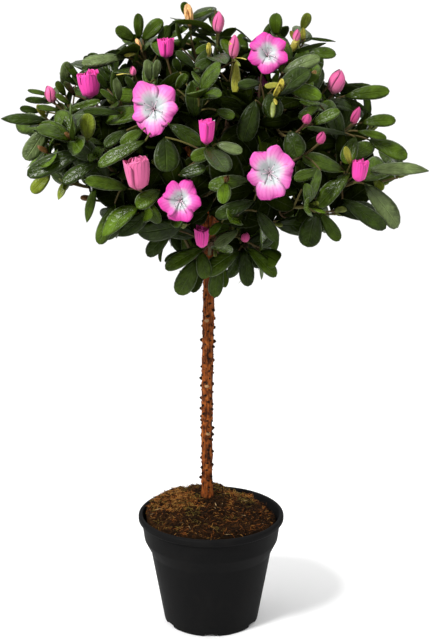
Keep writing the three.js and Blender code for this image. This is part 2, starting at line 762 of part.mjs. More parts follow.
// Twigs of a mass: one stem that goes on from the bough, and a twig from it to each shoot. The
// shoots that stand nearest to the bough leave it first.
function growTwigs(mass) {
  const begin = mass.start.clone().addScaledVector(mass.startWay, GAP);
  const end = HEART.clone().addScaledVector(mass.way, STEM_OF_MASS.reach * tipReach(mass.way));
  const control = begin.clone().addScaledVector(mass.startWay, STEM_OF_MASS.swing * begin.distanceTo(end));
  const { startRadius, endRadius, sides } = STEM_OF_MASS;
  const line = new THREE.QuadraticBezierCurve3(begin, control, end);
  mass.stem = boxed(limbSolid(tapering(line.getPoints(4), startRadius, endRadius, sides)));
  mass.shoots.sort((a, b) => a.tip.distanceTo(begin) - b.tip.distanceTo(begin));
  mass.shoots.forEach((shoot, rank) => {
    const share = mix(TWIG_STARTS.first, TWIG_STARTS.last, rank / Math.max(1, mass.shoots.length - 1));
    shoot.grown = [boxed(shootTwig(line.getPoint(share), shoot)), ...bloomSolids(shoot).map(boxed)];
  });
}

// A whole mass, fused: its stem, then each shoot with its flower or bud and its leaves
function massSolid(mass) {
  growTwigs(mass);
  for (const shoot of mass.shoots) {
    const others = mass.shoots.filter((other) => other !== shoot).flatMap(({ grown }) => grown);
    shoot.grown.push(...leafWhorl(mass, shoot, [mass.stem, ...others]));
  }
  const pieces = [mass.stem, ...mass.shoots.flatMap(({ grown }) => grown)];
  return mainBody(fused(pieces.map(({ solid }) => solid)).subtract(limbSpace));
}

const plastic = new THREE.MeshStandardMaterial({ color: 0x1c1d1e, roughness: 0.55, metalness: 0 });
const peat = new THREE.MeshStandardMaterial({ color: 0x4a3018, roughness: 0.95, metalness: 0 });
const bark = new THREE.MeshStandardMaterial({ color: 0x5c3320, roughness: 0.85, metalness: 0 });
const foliage = new THREE.MeshStandardMaterial({ color: 0x33501f, roughness: 0.5, metalness: 0 });

const azalea = new THREE.Group();
azalea.name = "azalea";
const potted = new THREE.Group();
potted.add(meshOf("pot", potSolid(), plastic), meshOf("root_ball", soilSolid(), peat));
const wood = new THREE.Group();
wood.add(meshOf("stem", limbSolid(stemLimb()), bark));
for (const mass of masses) {
  if (!mass.bough) continue;
  wood.add(meshOf(mass.boughName, mainBody(limbSolid(mass.bough).subtract(stemSpace)), bark));
}
const crown = new THREE.Group();
for (const mass of masses) crown.add(meshOf(mass.name, massSolid(mass), foliage));
azalea.add(potted, wood, crown);

export default azalea;
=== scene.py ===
import math

import bmesh
import bpy
import numpy as np
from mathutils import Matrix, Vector, noise


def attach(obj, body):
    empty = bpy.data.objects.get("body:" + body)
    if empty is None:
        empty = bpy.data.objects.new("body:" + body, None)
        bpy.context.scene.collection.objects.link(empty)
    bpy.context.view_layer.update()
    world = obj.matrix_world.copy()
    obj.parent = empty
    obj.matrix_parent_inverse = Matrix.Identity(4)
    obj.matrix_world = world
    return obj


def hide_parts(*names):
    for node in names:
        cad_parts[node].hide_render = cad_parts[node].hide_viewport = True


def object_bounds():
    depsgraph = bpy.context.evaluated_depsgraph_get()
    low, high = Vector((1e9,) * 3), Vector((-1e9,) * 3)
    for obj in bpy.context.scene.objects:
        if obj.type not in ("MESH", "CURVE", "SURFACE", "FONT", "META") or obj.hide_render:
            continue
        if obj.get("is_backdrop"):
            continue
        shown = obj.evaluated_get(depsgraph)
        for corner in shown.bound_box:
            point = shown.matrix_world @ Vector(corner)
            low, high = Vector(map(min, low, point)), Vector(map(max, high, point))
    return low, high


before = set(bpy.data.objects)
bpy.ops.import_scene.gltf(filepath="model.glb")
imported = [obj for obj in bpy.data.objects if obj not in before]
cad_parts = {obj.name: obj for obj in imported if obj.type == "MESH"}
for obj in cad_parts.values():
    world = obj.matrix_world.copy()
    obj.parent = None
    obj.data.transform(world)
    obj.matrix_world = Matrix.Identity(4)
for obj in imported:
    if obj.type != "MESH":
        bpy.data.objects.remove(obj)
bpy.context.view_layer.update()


# Studio
# The plant stands on a plain pale floor, seen from level with the crown's top as in the photo, in
# the soft light of three broad distant lamps, one softbox and a weak even surround. Places and
# sizes are millimetres in this file, and the inputs of trees and materials are metres.
MM = 0.001
EYE = Vector((3.5, -1250, 636))
LOOK_DOWN = math.radians(14.15)
# The photo's height and the lens's focal length, both in the photo's pixels
FRAME_HEIGHT = 640
FOCAL_LENGTH = 1295
FLOOR_SIZE = 400000
LAMPS = [
    {"name": "left_lamp", "azimuth": -80, "elevation": 42, "strength": 1.3, "spread": 80},
    {"name": "right_lamp", "azimuth": 70, "elevation": 42, "strength": 1.3, "spread": 80},
    {"name": "back_lamp", "azimuth": 180, "elevation": 55, "strength": 1.1, "spread": 80},
]
SOFTBOX = {
    "azimuth": -44, "elevation": 40, "distance": 2200, "radius": 260, "power": 252, "cone": 26,
    "blend": 0.6,
}
AIM = Vector((0, 0, 440))
SURROUND = 0.28


class Socket:
    """One output of a node. Arithmetic on it adds Math or Vector Math nodes to its tree."""

    def __init__(self, tree, output=None):
        self.tree, self.output = tree, output

    def node(self, kind, settings=None, inputs=None, output=0):
        """Adds any other node: first its settings, then the values or links of its sockets."""
        made = self.tree.nodes.new(kind)
        for name, value in (settings or {}).items():
            if name == "stops":
                ramp = made.color_ramp
                while len(ramp.elements) < len(value):
                    ramp.elements.new(1)
                for element, (place, colour) in zip(ramp.elements, value):
                    element.position, element.color = place, (*colour, 1)
            else:
                setattr(made, name, value)
        for name, value in (inputs or {}).items():
            self.feed(made.inputs[name], value)
        return Socket(self.tree, made.outputs[output] if made.outputs else None)

    def feed(self, socket, value):
        if isinstance(value, Socket):
            self.tree.links.new(value.output, socket)
        elif socket.type == "RGBA" and len(value) == 3:
            socket.default_value = (*value, 1)
        else:
            socket.default_value = value

    def beside(self, name):
        """Another output of the same node."""
        return Socket(self.tree, self.output.node.outputs[name])

    def maths(self, operation, *values):
        values = (self, *values)
        wide = [isinstance(v, (tuple, Vector)) or isinstance(v, Socket) and v.output.type == "VECTOR"
                for v in values]
        if any(wide) and operation == "MULTIPLY" and not all(wide):
            vector, number = values if wide[0] else values[::-1]
            return self.node("ShaderNodeVectorMath", {"operation": "SCALE"}, {0: vector, "Scale": number})
        kind = "ShaderNodeVectorMath" if any(wide) else "ShaderNodeMath"
        return self.node(kind, {"operation": operation}, dict(enumerate(values)))

    def __add__(self, other):
        return self.maths("ADD", other)

    __radd__ = __add__

    def __mul__(self, other):
        return self.maths("MULTIPLY", other)

    __rmul__ = __mul__

    def __sub__(self, other):
        return self.maths("SUBTRACT", other)

    def __rsub__(self, other):
        return self * -1 + other

    def __pow__(self, other):
        return self.maths("POWER", other)

    def __abs__(self):
        return self.maths("ABSOLUTE")

    def within(self, low, high):
        """0 below low, 1 above high and even between them."""
        scaled = (self - low) * (1 / (high - low))
        return scaled.maths("MAXIMUM", 0).maths("MINIMUM", 1)

    def blend(self, first, second):
        """A colour from first to second as this goes from 0 to 1."""
        return self.node("ShaderNodeMix", {"data_type": "RGBA"}, {0: self, 6: first, 7: second}, 2)


def new_finish(name, looks):
    """A material whose looks are set by a function of its board, as Principled socket values."""
    material = bpy.data.materials.new(name)
    material.use_nodes = True
    board = Socket(material.node_tree)
    shader = material.node_tree.nodes["Principled BSDF"]
    for socket, value in looks(board).items():
        board.feed(shader.inputs[socket], value)
    return material


def grain(board, scale, detail=2, stretch=(1, 1, 1), seed=0):
    """Noise from 0 to 1 in the object's own space, with scale in features a metre."""
    place = board.node("ShaderNodeTexCoord", output="Object")
    place = place.maths("MULTIPLY", stretch) + (seed, 0, 0)
    return board.node("ShaderNodeTexNoise", inputs={"Vector": place, "Scale": scale, "Detail": detail})


def bumps(board, height, depth, strength=0.6):
    """A normal for a height field, with its depth in metres."""
    inputs = {"Strength": strength, "Distance": depth, "Height": height}
    return board.node("ShaderNodeBump", inputs=inputs)


def new_piece(name, mesh):
    piece = bpy.data.objects.new(name, mesh)
    bpy.context.scene.collection.objects.link(piece)
    return piece


def mesh_of(name, points, faces):
    """A mesh in metres from corners in millimetres."""
    mesh = bpy.data.meshes.new(name)
    mesh.from_pydata([tuple(Vector(p) * MM) for p in points], [], faces)
    return mesh


def speckled_finish(name, dark, light, scale, detail=2, span=(0, 1), relief=None, sockets=None):
    """A finish from a dark to a light colour in specks, with scale in specks a metre. Relief is the
    specks' depth in metres and its strength, and sockets are the shader's other values."""
    def looks(board):
        specks = grain(board, scale, detail)
        made = {"Base Color": specks.within(*span).blend(dark, light), **(sockets or {})}
        if relief:
            made["Normal"] = bumps(board, specks, *relief)
        return made

    return new_finish(name, looks)


half = FLOOR_SIZE / 2
corners = [(-half, -half, 0), (half, -half, 0), (half, half, 0), (-half, half, 0)]
floor = new_piece("floor", mesh_of("floor", corners, [(0, 1, 2, 3)]))
floor_gloss = {"Roughness": 0.9, "Specular IOR Level": 0}
floor_finish = speckled_finish("pale_floor", (0.93, 0.93, 0.93), (0.95, 0.95, 0.95), 3, sockets=floor_gloss)
floor.data.materials.append(floor_finish)
floor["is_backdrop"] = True


def direction(azimuth, elevation):
    """A unit vector, with azimuth 0 at the front and growing to the right, in degrees."""
    turn, rise = math.radians(azimuth), math.radians(elevation)
    return Vector((math.sin(turn) * math.cos(rise), -math.cos(turn) * math.cos(rise), math.sin(rise)))


for lamp in LAMPS:
    light = bpy.data.lights.new(lamp["name"], "SUN")
    light.energy = lamp["strength"]
    light.angle = math.radians(lamp["spread"])
    towards = direction(lamp["azimuth"], lamp["elevation"])
    new_piece(lamp["name"], light).rotation_euler = towards.to_track_quat("Z", "Y").to_euler()

key = bpy.data.lights.new("softbox", "SPOT")
key.energy = SOFTBOX["power"]
key.shadow_soft_size = SOFTBOX["radius"] * MM
key.spot_size = math.radians(SOFTBOX["cone"])
key.spot_blend = SOFTBOX["blend"]
towards = direction(SOFTBOX["azimuth"], SOFTBOX["elevation"])
softbox = new_piece("softbox", key)
softbox.location = (AIM + towards * SOFTBOX["distance"]) * MM
softbox.rotation_euler = towards.to_track_quat("Z", "Y").to_euler()

surround = bpy.data.worlds.new("surround")
surround.use_nodes = True
background = surround.node_tree.nodes["Background"]
background.inputs["Color"].default_value = (1, 1, 1, 1)
background.inputs["Strength"].default_value = SURROUND
bpy.context.scene.world = surround
bpy.context.scene.view_settings.view_transform = "Standard"

lens = bpy.data.cameras.new("camera")
lens.lens = lens.sensor_width * FOCAL_LENGTH / FRAME_HEIGHT
camera = new_piece("camera", lens)
camera.location = EYE * MM
camera.rotation_euler = (math.pi / 2 - LOOK_DOWN, 0, 0)
bpy.context.scene.camera = camera


# Pot
# A thin round nursery pot of black polypropylene, moulded in one: a tapering body, a straight
# collar, a rolled lip, and a floor with six drain holes behind six shallow notches in its edge.
POT_HEIGHT = 117
RIM_RADIUS = 75
BASE_RADIUS = 48.8
BODY_TOP = (62.2, 76)
COLLAR_FOOT = (69.1, 90)
COLLAR_TOP = (71.6, 109.5)
WALL = 1.5
POT_FLOOR = 3.4
# How much each corner inside stands above the one outside, and how far the lip's edges fall
INNER_RISE = 0.6
LIP_FALL = {"outside": 1.6, "inside": 1.4}
CORNER = {"radius": 1.6, "share": 0.45, "steps": 4}
SHARP_FROM = math.radians(38)
POT_SIDES = 144
NOTCHES = 6
NOTCH = {"width": 18, "top_share": 0.7, "depth": 12, "height": 3.4}
DRAIN = {"radius": 3, "inset": 7, "sides": 24}


def bend(start, control, end, steps):
    """Points along a curve that leaves start towards control and ends at end."""
    shares = [i / steps for i in range(steps + 1)]
    return [start.lerp(control, s).lerp(control.lerp(end, s), s) for s in shares]


def rounded(profile):
    """A profile with its corners turned into short curves."""
    points = [Vector(profile[0])]
    for before, corner, after in zip(profile, profile[1:], profile[2:]):
        before, corner, after = Vector(before), Vector(corner), Vector(after)
        room_in = min(CORNER["radius"], (before - corner).length * CORNER["share"])
        room_out = min(CORNER["radius"], (after - corner).length * CORNER["share"])
        start = corner + (before - corner).normalized() * room_in
        end = corner + (after - corner).normalized() * room_out
        points += bend(start, corner, end, CORNER["steps"])
    return [*points, Vector(profile[-1])]


def turned(name, profile, sides, height_at=None):
    """A closed turned body from a profile of radius and height that starts and ends on the axis.
    Where a height is None, height_at works it out from the place."""
    def corner(radius, height, turn):
        x, y = radius * math.cos(turn), radius * math.sin(turn)
        return (x, y, height_at(x, y) if height is None else height)

    points = [corner(*profile[0], 0)]
    faces = []
    for i, (radius, height) in enumerate(profile[1:-1]):
        for j in range(sides):
            points.append(corner(radius, height, 2 * math.pi * j / sides))
            low, onward = 1 + i * sides, (j + 1) % sides
            if i == 0:
                faces.append((0, 1 + onward, 1 + j))
            else:
                faces.append((low - sides + j, low - sides + onward, low + onward, low + j))
    top = len(points) - sides
    points.append(corner(*profile[-1], 0))
    faces += [(top + j, top + (j + 1) % sides, top + sides) for j in range(sides)]
    return mesh_of(name, points, faces)


def settled(piece):
    """Applies a piece's modifiers and leaves a plain mesh."""
    done = piece.evaluated_get(bpy.context.evaluated_depsgraph_get())
    mesh = bpy.data.meshes.new_from_object(done)
    piece.modifiers.clear()
    piece.data = mesh
    return piece


lip = RIM_RADIUS - COLLAR_TOP[0]
outside = [
    (BASE_RADIUS, 0),
    BODY_TOP,
    COLLAR_FOOT,
    COLLAR_TOP,
    (RIM_RADIUS, COLLAR_TOP[1] + INNER_RISE),
    (RIM_RADIUS, POT_HEIGHT - LIP_FALL["outside"]),
    (RIM_RADIUS - lip, POT_HEIGHT),
    (COLLAR_TOP[0] - WALL, POT_HEIGHT - LIP_FALL["inside"]),
]
inside = [
    (COLLAR_FOOT[0] - WALL, COLLAR_FOOT[1] + INNER_RISE),
    (BODY_TOP[0] - WALL, BODY_TOP[1] + INNER_RISE),
    (BASE_RADIUS - WALL + INNER_RISE, POT_FLOOR),
]
profile = rounded([(0, 0), *outside, *inside, (0, POT_FLOOR)])
pot = new_piece("nursery_pot", turned("nursery_pot", profile, POT_SIDES))

cutter_mesh = bmesh.new()
for i in range(NOTCHES):
    turn = 2 * math.pi * (i + 0.5) / NOTCHES
    way = Vector((math.cos(turn), math.sin(turn), 0))
    box = bmesh.ops.create_cube(cutter_mesh, size=1)["verts"]
    for corner in box:
        out = BASE_RADIUS + corner.co.x * 2 * NOTCH["depth"]
        along = corner.co.y * NOTCH["width"] * (1 if corner.co.z < 0 else NOTCH["top_share"])
        up = corner.co.z * 2 * NOTCH["height"]
        corner.co = way * out + Vector((-way.y, way.x, 0)) * along + Vector((0, 0, up))
    hole = bmesh.ops.create_cone(
        cutter_mesh, segments=DRAIN["sides"], cap_ends=True, depth=4 * POT_FLOOR,
        radius1=DRAIN["radius"], radius2=DRAIN["radius"],
    )["verts"]
    bmesh.ops.translate(cutter_mesh, vec=way * (BASE_RADIUS - DRAIN["inset"]), verts=hole)
bmesh.ops.scale(cutter_mesh, vec=(MM, MM, MM), verts=cutter_mesh.verts)
cutter = new_piece("notch_cutter", bpy.data.meshes.new("notch_cutter"))
cutter_mesh.to_mesh(cutter.data)
cutter_mesh.free()
cut = pot.modifiers.new("notches", "BOOLEAN")
cut.object, cut.operation, cut.solver = cutter, "DIFFERENCE", "EXACT"
cut.use_self = True
settled(pot)
bpy.data.objects.remove(cutter)
pot.data.shade_smooth()
pot.data.set_sharp_from_angle(angle=SHARP_FROM)


def plastic_looks(board):
    pebble = grain(board, 900, 2)
    scuffs = grain(board, 40, 4, stretch=(1, 1, 0.4), seed=3).within(0.52, 0.75)
    dust = grain(board, 120, 4, seed=8).within(0.55, 0.8)
    colour = scuffs.blend((0.0065, 0.0065, 0.0066), (0.0090, 0.0088, 0.0086))
    return {
        "Base Color": (dust * 0.2).blend(colour, (0.018, 0.016, 0.013)),
        "Roughness": 0.55 + 0.12 * scuffs + 0.08 * dust,
        "Normal": bumps(board, pebble, 0.00015, 0.4),
        "Specular IOR Level": 0.03,
    }


pot.data.materials.clear()
pot.data.materials.append(new_finish("black_plastic", plastic_looks))
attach(pot, "root")
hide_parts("pot")


# Peat
# The pot is filled with moist fibrous peat, heaped towards the stem, a little over the rim at the
# back left and lower at the back right. Short curled fibres, moss and a few straws cover its top.
FOOT = Vector((-4, 20, POT_HEIGHT + 9))
SOIL_GAP = {"wall": 0.9, "floor": 0.3}
SOIL_RADIUS = COLLAR_FOOT[0] - WALL - SOIL_GAP["wall"]
SOIL_SIDES = 120
SOIL_RINGS = 44
MOUND = {"rise": 8.7, "spread": 46, "bare_foot": 14, "less_overfull": 0.4}
EDGE_DROP = {"depth": 5, "least": 0.35, "back_right": 5}
HEAP = {"x": -34, "y": 34, "rise": 1, "spread": 26}
DISH = {"depth": 3.5, "radius": 13}
# Height, width and seed of the coarse and the fine clods
CLODS = [(3.0, 12, 0), (2.4, 5, 30)]
OVERFILL = {"rise": 0.5, "left": 0.35, "right": 0.9, "from": 0.4, "over": 0.35}
FIBRES = 10000
STRAWS = 40
FIBRE = {"rise": (0.05, 1.2), "length": (3, 9), "width": (0.3, 0.65), "arch": (0.3, 1.9)}
STRAW = {"rise": (-0.1, 0.15), "length": (5, 13), "width": (0.7, 1.3), "arch": 0.2}
LITTER = {"sunk": 0.4, "straws_raised": 0.9, "stem_room": 6}
SPILL = {"overfull": 7, "elsewhere": 1.5, "from": 0.4}
MOSS = {"seed": 7, "patch": 17, "back": 0.3, "left": 0.1, "from": 0.2, "share": 0.3}
RUST = {
    "seed": 236.5, "patch": 19, "strength": 0.9, "back_left": 0.3, "back": 1.2, "from": 0.22,
    "mixed": -0.06,
}
# A patch before the stem's foot where the fibres are mostly dark: painted shadow at the stem's foot
STEM_SHADOW_PATCH = {"x": 7, "y": -13, "radius": 15}


def seeded(seed):
    """Repeatable random numbers from 0 to 1."""
    state = (seed * 7919 + 17) % 2147483647

    def draw():
        nonlocal state
        state = state * 48271 % 2147483647
        return state / 2147483647

    draw()
    return draw


def mix(low, high, share):
    return low + (high - low) * share


def pick(luck, choices):
    """The choice that luck falls on. Each choice stands behind the share of luck that it ends at."""
    return next(choice for end, choice in choices if luck < end)


def toned(colour, share):
    """A colour made darker or lighter."""
    return tuple(channel * share for channel in colour)


def overfill_share(x, y):
    """1 where the soil is heaped over the rim at the back left, and 0 away from there."""
    slope = OVERFILL["right"] if x > 0 else OVERFILL["left"]
    towards_back = (y - slope * x) / RIM_RADIUS
    return min(1, max(0, (towards_back - OVERFILL["from"]) / OVERFILL["over"]))


def soil_height(x, y):
    from_foot = math.hypot(x - FOOT.x, y - FOOT.y)
    edge = min(1, math.hypot(x, y) / (COLLAR_TOP[0] - WALL))
    back_right = max(0, (x + y) / (2 * RIM_RADIUS))
    outward = max(0, from_foot - MOUND["bare_foot"])
    mound = MOUND["rise"] * math.exp(-((outward / MOUND["spread"]) ** 2))
    drop = EDGE_DROP["depth"] * edge ** 3 * (EDGE_DROP["least"] + EDGE_DROP["back_right"] * back_right)
    overfull = overfill_share(x, y)
    from_heap = math.hypot(x - HEAP["x"], y - HEAP["y"])
    heap = HEAP["rise"] * math.exp(-((from_heap / HEAP["spread"]) ** 2))
    clods = sum(rise * noise.noise(Vector((x, y, seed)) / width) for rise, width, seed in CLODS)
    hollow = DISH["depth"] * max(0, 1 - from_foot / DISH["radius"])
    level = POT_HEIGHT + mound * (1 - MOUND["less_overfull"] * overfull) + heap + clods - hollow
    return level - drop * (1 - overfull) + OVERFILL["rise"] * overfull * edge ** 3


profile = [
    (0, POT_FLOOR + SOIL_GAP["floor"]),
    (BASE_RADIUS - WALL - SOIL_GAP["wall"], POT_FLOOR + SOIL_GAP["floor"]),
    (BODY_TOP[0] - WALL - SOIL_GAP["wall"], BODY_TOP[1]),
    (SOIL_RADIUS, COLLAR_FOOT[1] + 2),
    *[(SOIL_RADIUS * (1 - i / SOIL_RINGS), None) for i in range(SOIL_RINGS)],
    (0, None),
]
peat = new_piece("peat", turned("peat", profile, SOIL_SIDES, soil_height))
peat.data.shade_smooth()


def peat_looks(board):
    crumbs = grain(board, 420, 5)
    patches = grain(board, 30, 3, seed=2)
    colour = board.node("ShaderNodeValToRGB", {"stops": [
        (0.36, (0.003, 0.002, 0.001)), (0.52, (0.014, 0.006, 0.002)),
        (0.64, (0.060, 0.024, 0.006)), (0.78, (0.130, 0.075, 0.015)),
    ]}, {0: crumbs * 0.6 + patches * 0.4})
    return {
        "Base Color": colour, "Roughness": 0.9, "Normal": bumps(board, crumbs, 0.002, 0.9),
        "Specular IOR Level": 0.05,
    }


peat.data.materials.append(new_finish("moist_peat", peat_looks))
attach(peat, "root")
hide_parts("root_ball")


def new_tree(name, sizes):
    """A tree with a named input for each size: its board, its incoming geometry and its sizes."""
    tree = bpy.data.node_groups.new(name, "GeometryNodeTree")
    for way in ("INPUT", "OUTPUT"):
        tree.interface.new_socket("Geometry", in_out=way, socket_type="NodeSocketGeometry")
    for label, value in sizes.items():
        socket = tree.interface.new_socket(label, in_out="INPUT", socket_type="NodeSocketFloat")
        socket.default_value = value
    board = Socket(tree)
    entry = board.node("NodeGroupInput", output="Geometry")
    return board, entry, {label: entry.beside(label) for label in sizes}


def read(board, attribute, kind="FLOAT"):
    """What each point was given under a name."""
    return board.node("GeometryNodeInputNamedAttribute", {"data_type": kind}, {"Name": attribute})


def finished_tree(board, shape, materials):
    """Ends a tree in smooth realized faces with a material. Of several, each point's tint picks one."""
    smooth = board.node("GeometryNodeSetShadeSmooth", inputs={"Geometry": shape})
    last = board.node("GeometryNodeRealizeInstances", inputs={"Geometry": smooth})
    for i, material in enumerate(materials):
        inputs = {"Geometry": last, "Material": material}
        if i:
            inputs["Selection"] = read(board, "tint").maths("GREATER_THAN", i - 0.5)
        last = board.node("GeometryNodeSetMaterial", inputs=inputs)
    board.node("NodeGroupOutput", inputs={"Geometry": last})
    return board.tree


def blade_tree(name, rows, columns, sizes, surface, materials):
    """A tree that grows a thin closed blade on each point: a grid in two sheets, joined round its
    edge and shaped by a function of its place along and across the blade."""
    board, entry, size = new_tree(name, sizes)
    grid = board.node("GeometryNodeMeshGrid", inputs={"Vertices X": columns + 1, "Vertices Y": rows + 1})
    place = board.node("ShaderNodeSeparateXYZ", inputs={0: grid.beside("UV Map")})
    sheets = []
    for under in (0, 1):
        spot = board.node("ShaderNodeCombineXYZ", inputs={0: place.beside("Y"), 1: place * 2 - 1, 2: under})
        sheets.append(board.node(
            "GeometryNodeStoreNamedAttribute", {"data_type": "FLOAT_VECTOR", "domain": "POINT"},
            {"Geometry": grid, "Name": "blade", "Value": spot},
        ))
    sheets[1] = board.node("GeometryNodeFlipFaces", inputs={"Mesh": sheets[1]})
    both = board.node("GeometryNodeJoinGeometry")
    for sheet in sheets:
        board.tree.links.new(sheet.output, both.output.node.inputs[0])
    copies = board.node("GeometryNodeInstanceOnPoints", inputs={"Points": entry, "Instance": both})
    loose = board.node("GeometryNodeRealizeInstances", inputs={"Geometry": copies})

    spot = board.node("ShaderNodeSeparateXYZ", inputs={0: read(board, "blade", "FLOAT_VECTOR")})
    along, across, under = spot, spot.beside("Y"), spot.beside("Z")
    shaped = surface(board, size, along, across)
    formed = board.node("GeometryNodeSetPosition", inputs={"Geometry": loose, "Position": shaped})
    rim = (1 - across * across) * (1 - (along * 2 - 1) ** 4)
    depth = under * rim * size["Thickness"]
    normal = board.node("GeometryNodeInputNormal")
    backed = board.node("GeometryNodeSetPosition", inputs={"Geometry": formed, "Offset": normal * depth})
    closed = board.node("GeometryNodeMergeByDistance", inputs={"Geometry": backed, "Distance": 1e-6})
    return finished_tree(board, closed, materials)


def grown(name, tree, sizes, points, edges=()):
    """A plain mesh that a tree grows on points. Each point is a dictionary of its attributes."""
    mesh = bpy.data.meshes.new(name)
    mesh.from_pydata([tuple(point["root"]) for point in points], list(edges), [])
    for label in points[0]:
        values = np.array([point[label] for point in points], dtype=np.float32)
        kind, field = ("FLOAT_VECTOR", "vector") if values.ndim == 2 else ("FLOAT", "value")
        mesh.attributes.new(label, kind, "POINT").data.foreach_set(field, values.ravel())
    piece = new_piece(name, mesh)
    growth = piece.modifiers.new("growth", "NODES")
    growth.node_group = tree
    for item in tree.interface.items_tree:
        if item.name in sizes:
            growth[item.identifier] = float(sizes[item.name])
    return settled(piece)


def leaf_surface(board, size, along, across):
    """A blade that widens from its root, is widest past its middle and ends blunt or sharp. It
    arches along its length, is folded along its rib and waves a little at its edges."""
    way, face = read(board, "along", "FLOAT_VECTOR"), read(board, "face", "FLOAT_VECTOR")
    side = way.maths("CROSS_PRODUCT", face)
    length, arch = read(board, "length"), read(board, "arch")
    share = 1 - (1 - along) ** 1.6
    blunt = (1 - share ** size["Tip bluntness"]) ** (0.5 + read(board, "pointed"))
    half_width = share ** size["Root taper"] * blunt * read(board, "width") * 0.5
    edge = abs(across)
    wave = ((share * 9 + read(board, "phase")).maths("SINE") * edge * size["Wave"]) * length
    lift = half_width * edge * read(board, "fold") - half_width * edge * edge * size["Crown"] + wave
    onward = length * share * (1 - arch * arch * share * share * (1 / 6))
    down = length * arch * share * share * -0.5
    root = read(board, "root", "FLOAT_VECTOR")
    return root + way * onward + side * (half_width * across) + face * (down + lift)


def blade(root, way, face, length, width, arch, fold, phase, tint, pointed=0):
    """One blade's attributes, in metres. Its tip is round at pointed 0, and sharp at 0.5."""
    return {
        "root": root * MM, "along": way, "face": face, "length": length * MM, "width": width * MM,
        "arch": arch, "fold": fold, "phase": phase, "tint": tint, "pointed": pointed,
    }


def order_of(tints):
    """The number of each tint, as a tree's materials are numbered."""
    return {name: i for i, name in enumerate(tints)}


FIBRE_TINTS = {
    "dark_fibre": (0.012, 0.006, 0.002),
    "brown_fibre": (0.090, 0.034, 0.009),
    "rust_fibre": (0.420, 0.130, 0.024),
    "tan_fibre": (0.640, 0.310, 0.070),
    "moss": (0.270, 0.185, 0.035),
    "straw": (0.750, 0.500, 0.240),
}
FIBRE_SHARES = {
    "stem_shadow": [(0.2, "brown_fibre"), (1, "dark_fibre")],
    "rusty": [(0.38, "tan_fibre"), (0.72, "rust_fibre"), (1, "brown_fibre")],
    "mixed": [(0.08, "tan_fibre"), (0.32, "rust_fibre"), (0.7, "brown_fibre"), (1, "dark_fibre")],
    "dark": [(0.03, "tan_fibre"), (0.1, "rust_fibre"), (0.5, "brown_fibre"), (1, "dark_fibre")],
}


def fibre_tint(x, y, luck):
    """Fibres are rusty towards the back left, mossy in patches, and dark towards the front right. A patch
    before the stem's foot is dark as painted shadow."""
    moss = noise.noise(Vector((x, y, MOSS["seed"])) / MOSS["patch"])
    moss = moss + MOSS["back"] * y / RIM_RADIUS - MOSS["left"] * x / RIM_RADIUS
    rust = RUST["strength"] * noise.noise(Vector((x, y, RUST["seed"])) / RUST["patch"])
    rust = rust - RUST["back_left"] * (x - RUST["back"] * y) / RIM_RADIUS
    # Painted shadow: fibres in the patch before the stem's foot are mostly dark
    if math.hypot(x - FOOT.x - STEM_SHADOW_PATCH["x"], y - FOOT.y - STEM_SHADOW_PATCH["y"]) < STEM_SHADOW_PATCH["radius"]:
        return pick(luck, FIBRE_SHARES["stem_shadow"])
    if moss > MOSS["from"] and luck < MOSS["share"]:
        return "moss"
    area = "rusty" if rust > RUST["from"] else "mixed" if rust > RUST["mixed"] else "dark"
    return pick(luck, FIBRE_SHARES[area])


fibre_order = order_of(FIBRE_TINTS)
draw = seeded(41)
fibres = []
while len(fibres) < FIBRES + STRAWS:
    straw = len(fibres) >= FIBRES
    kind = STRAW if straw else FIBRE
    out = (SOIL_RADIUS - 1) * math.sqrt(draw())
    turn = 2 * math.pi * draw()
    x, y = out * math.cos(turn), out * math.sin(turn)
    heading = 2 * math.pi * draw()
    way = Vector((math.cos(heading), math.sin(heading), mix(*kind["rise"], draw()))).normalized()
    face = (Vector((0, 0, 1)) - way * way.z).normalized()
    raised = LITTER["straws_raised"] if straw else 0
    root = Vector((x, y, soil_height(x, y) - LITTER["sunk"] + raised))
    long = mix(*kind["length"], draw())
    thick = mix(*kind["width"], draw())
    arch = kind["arch"] if straw else mix(*kind["arch"], draw())
    tint = "straw" if straw else fibre_tint(x, y, draw())
    tip = root + way * long
    spill = SPILL["overfull"] if overfill_share(x, y) > SPILL["from"] else SPILL["elsewhere"]
    at_stem = math.hypot(x - FOOT.x, y - FOOT.y) < LITTER["stem_room"]
    if math.hypot(tip.x, tip.y) > SOIL_RADIUS + spill or at_stem:
        continue
    fibres.append(blade(root, way, face, long, thick, arch, 0, 0, fibre_order[tint]))
fibre_gloss = {"Roughness": 0.85, "Specular IOR Level": 0.1}
fibre_finishes = [
    speckled_finish(name, toned(colour, 0.45), colour, 500, span=(0.3, 0.7), sockets=fibre_gloss)
    for name, colour in FIBRE_TINTS.items()
]
fibre_sizes = {"Thickness": 0.0003, "Root taper": 0.35, "Tip bluntness": 2, "Wave": 0, "Crown": 0.3}
fibre_growth = blade_tree("fibre_growth", 3, 2, fibre_sizes, leaf_surface, fibre_finishes)
litter = grown("peat_fibres", fibre_growth, fibre_sizes, fibres)
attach(litter, "root")


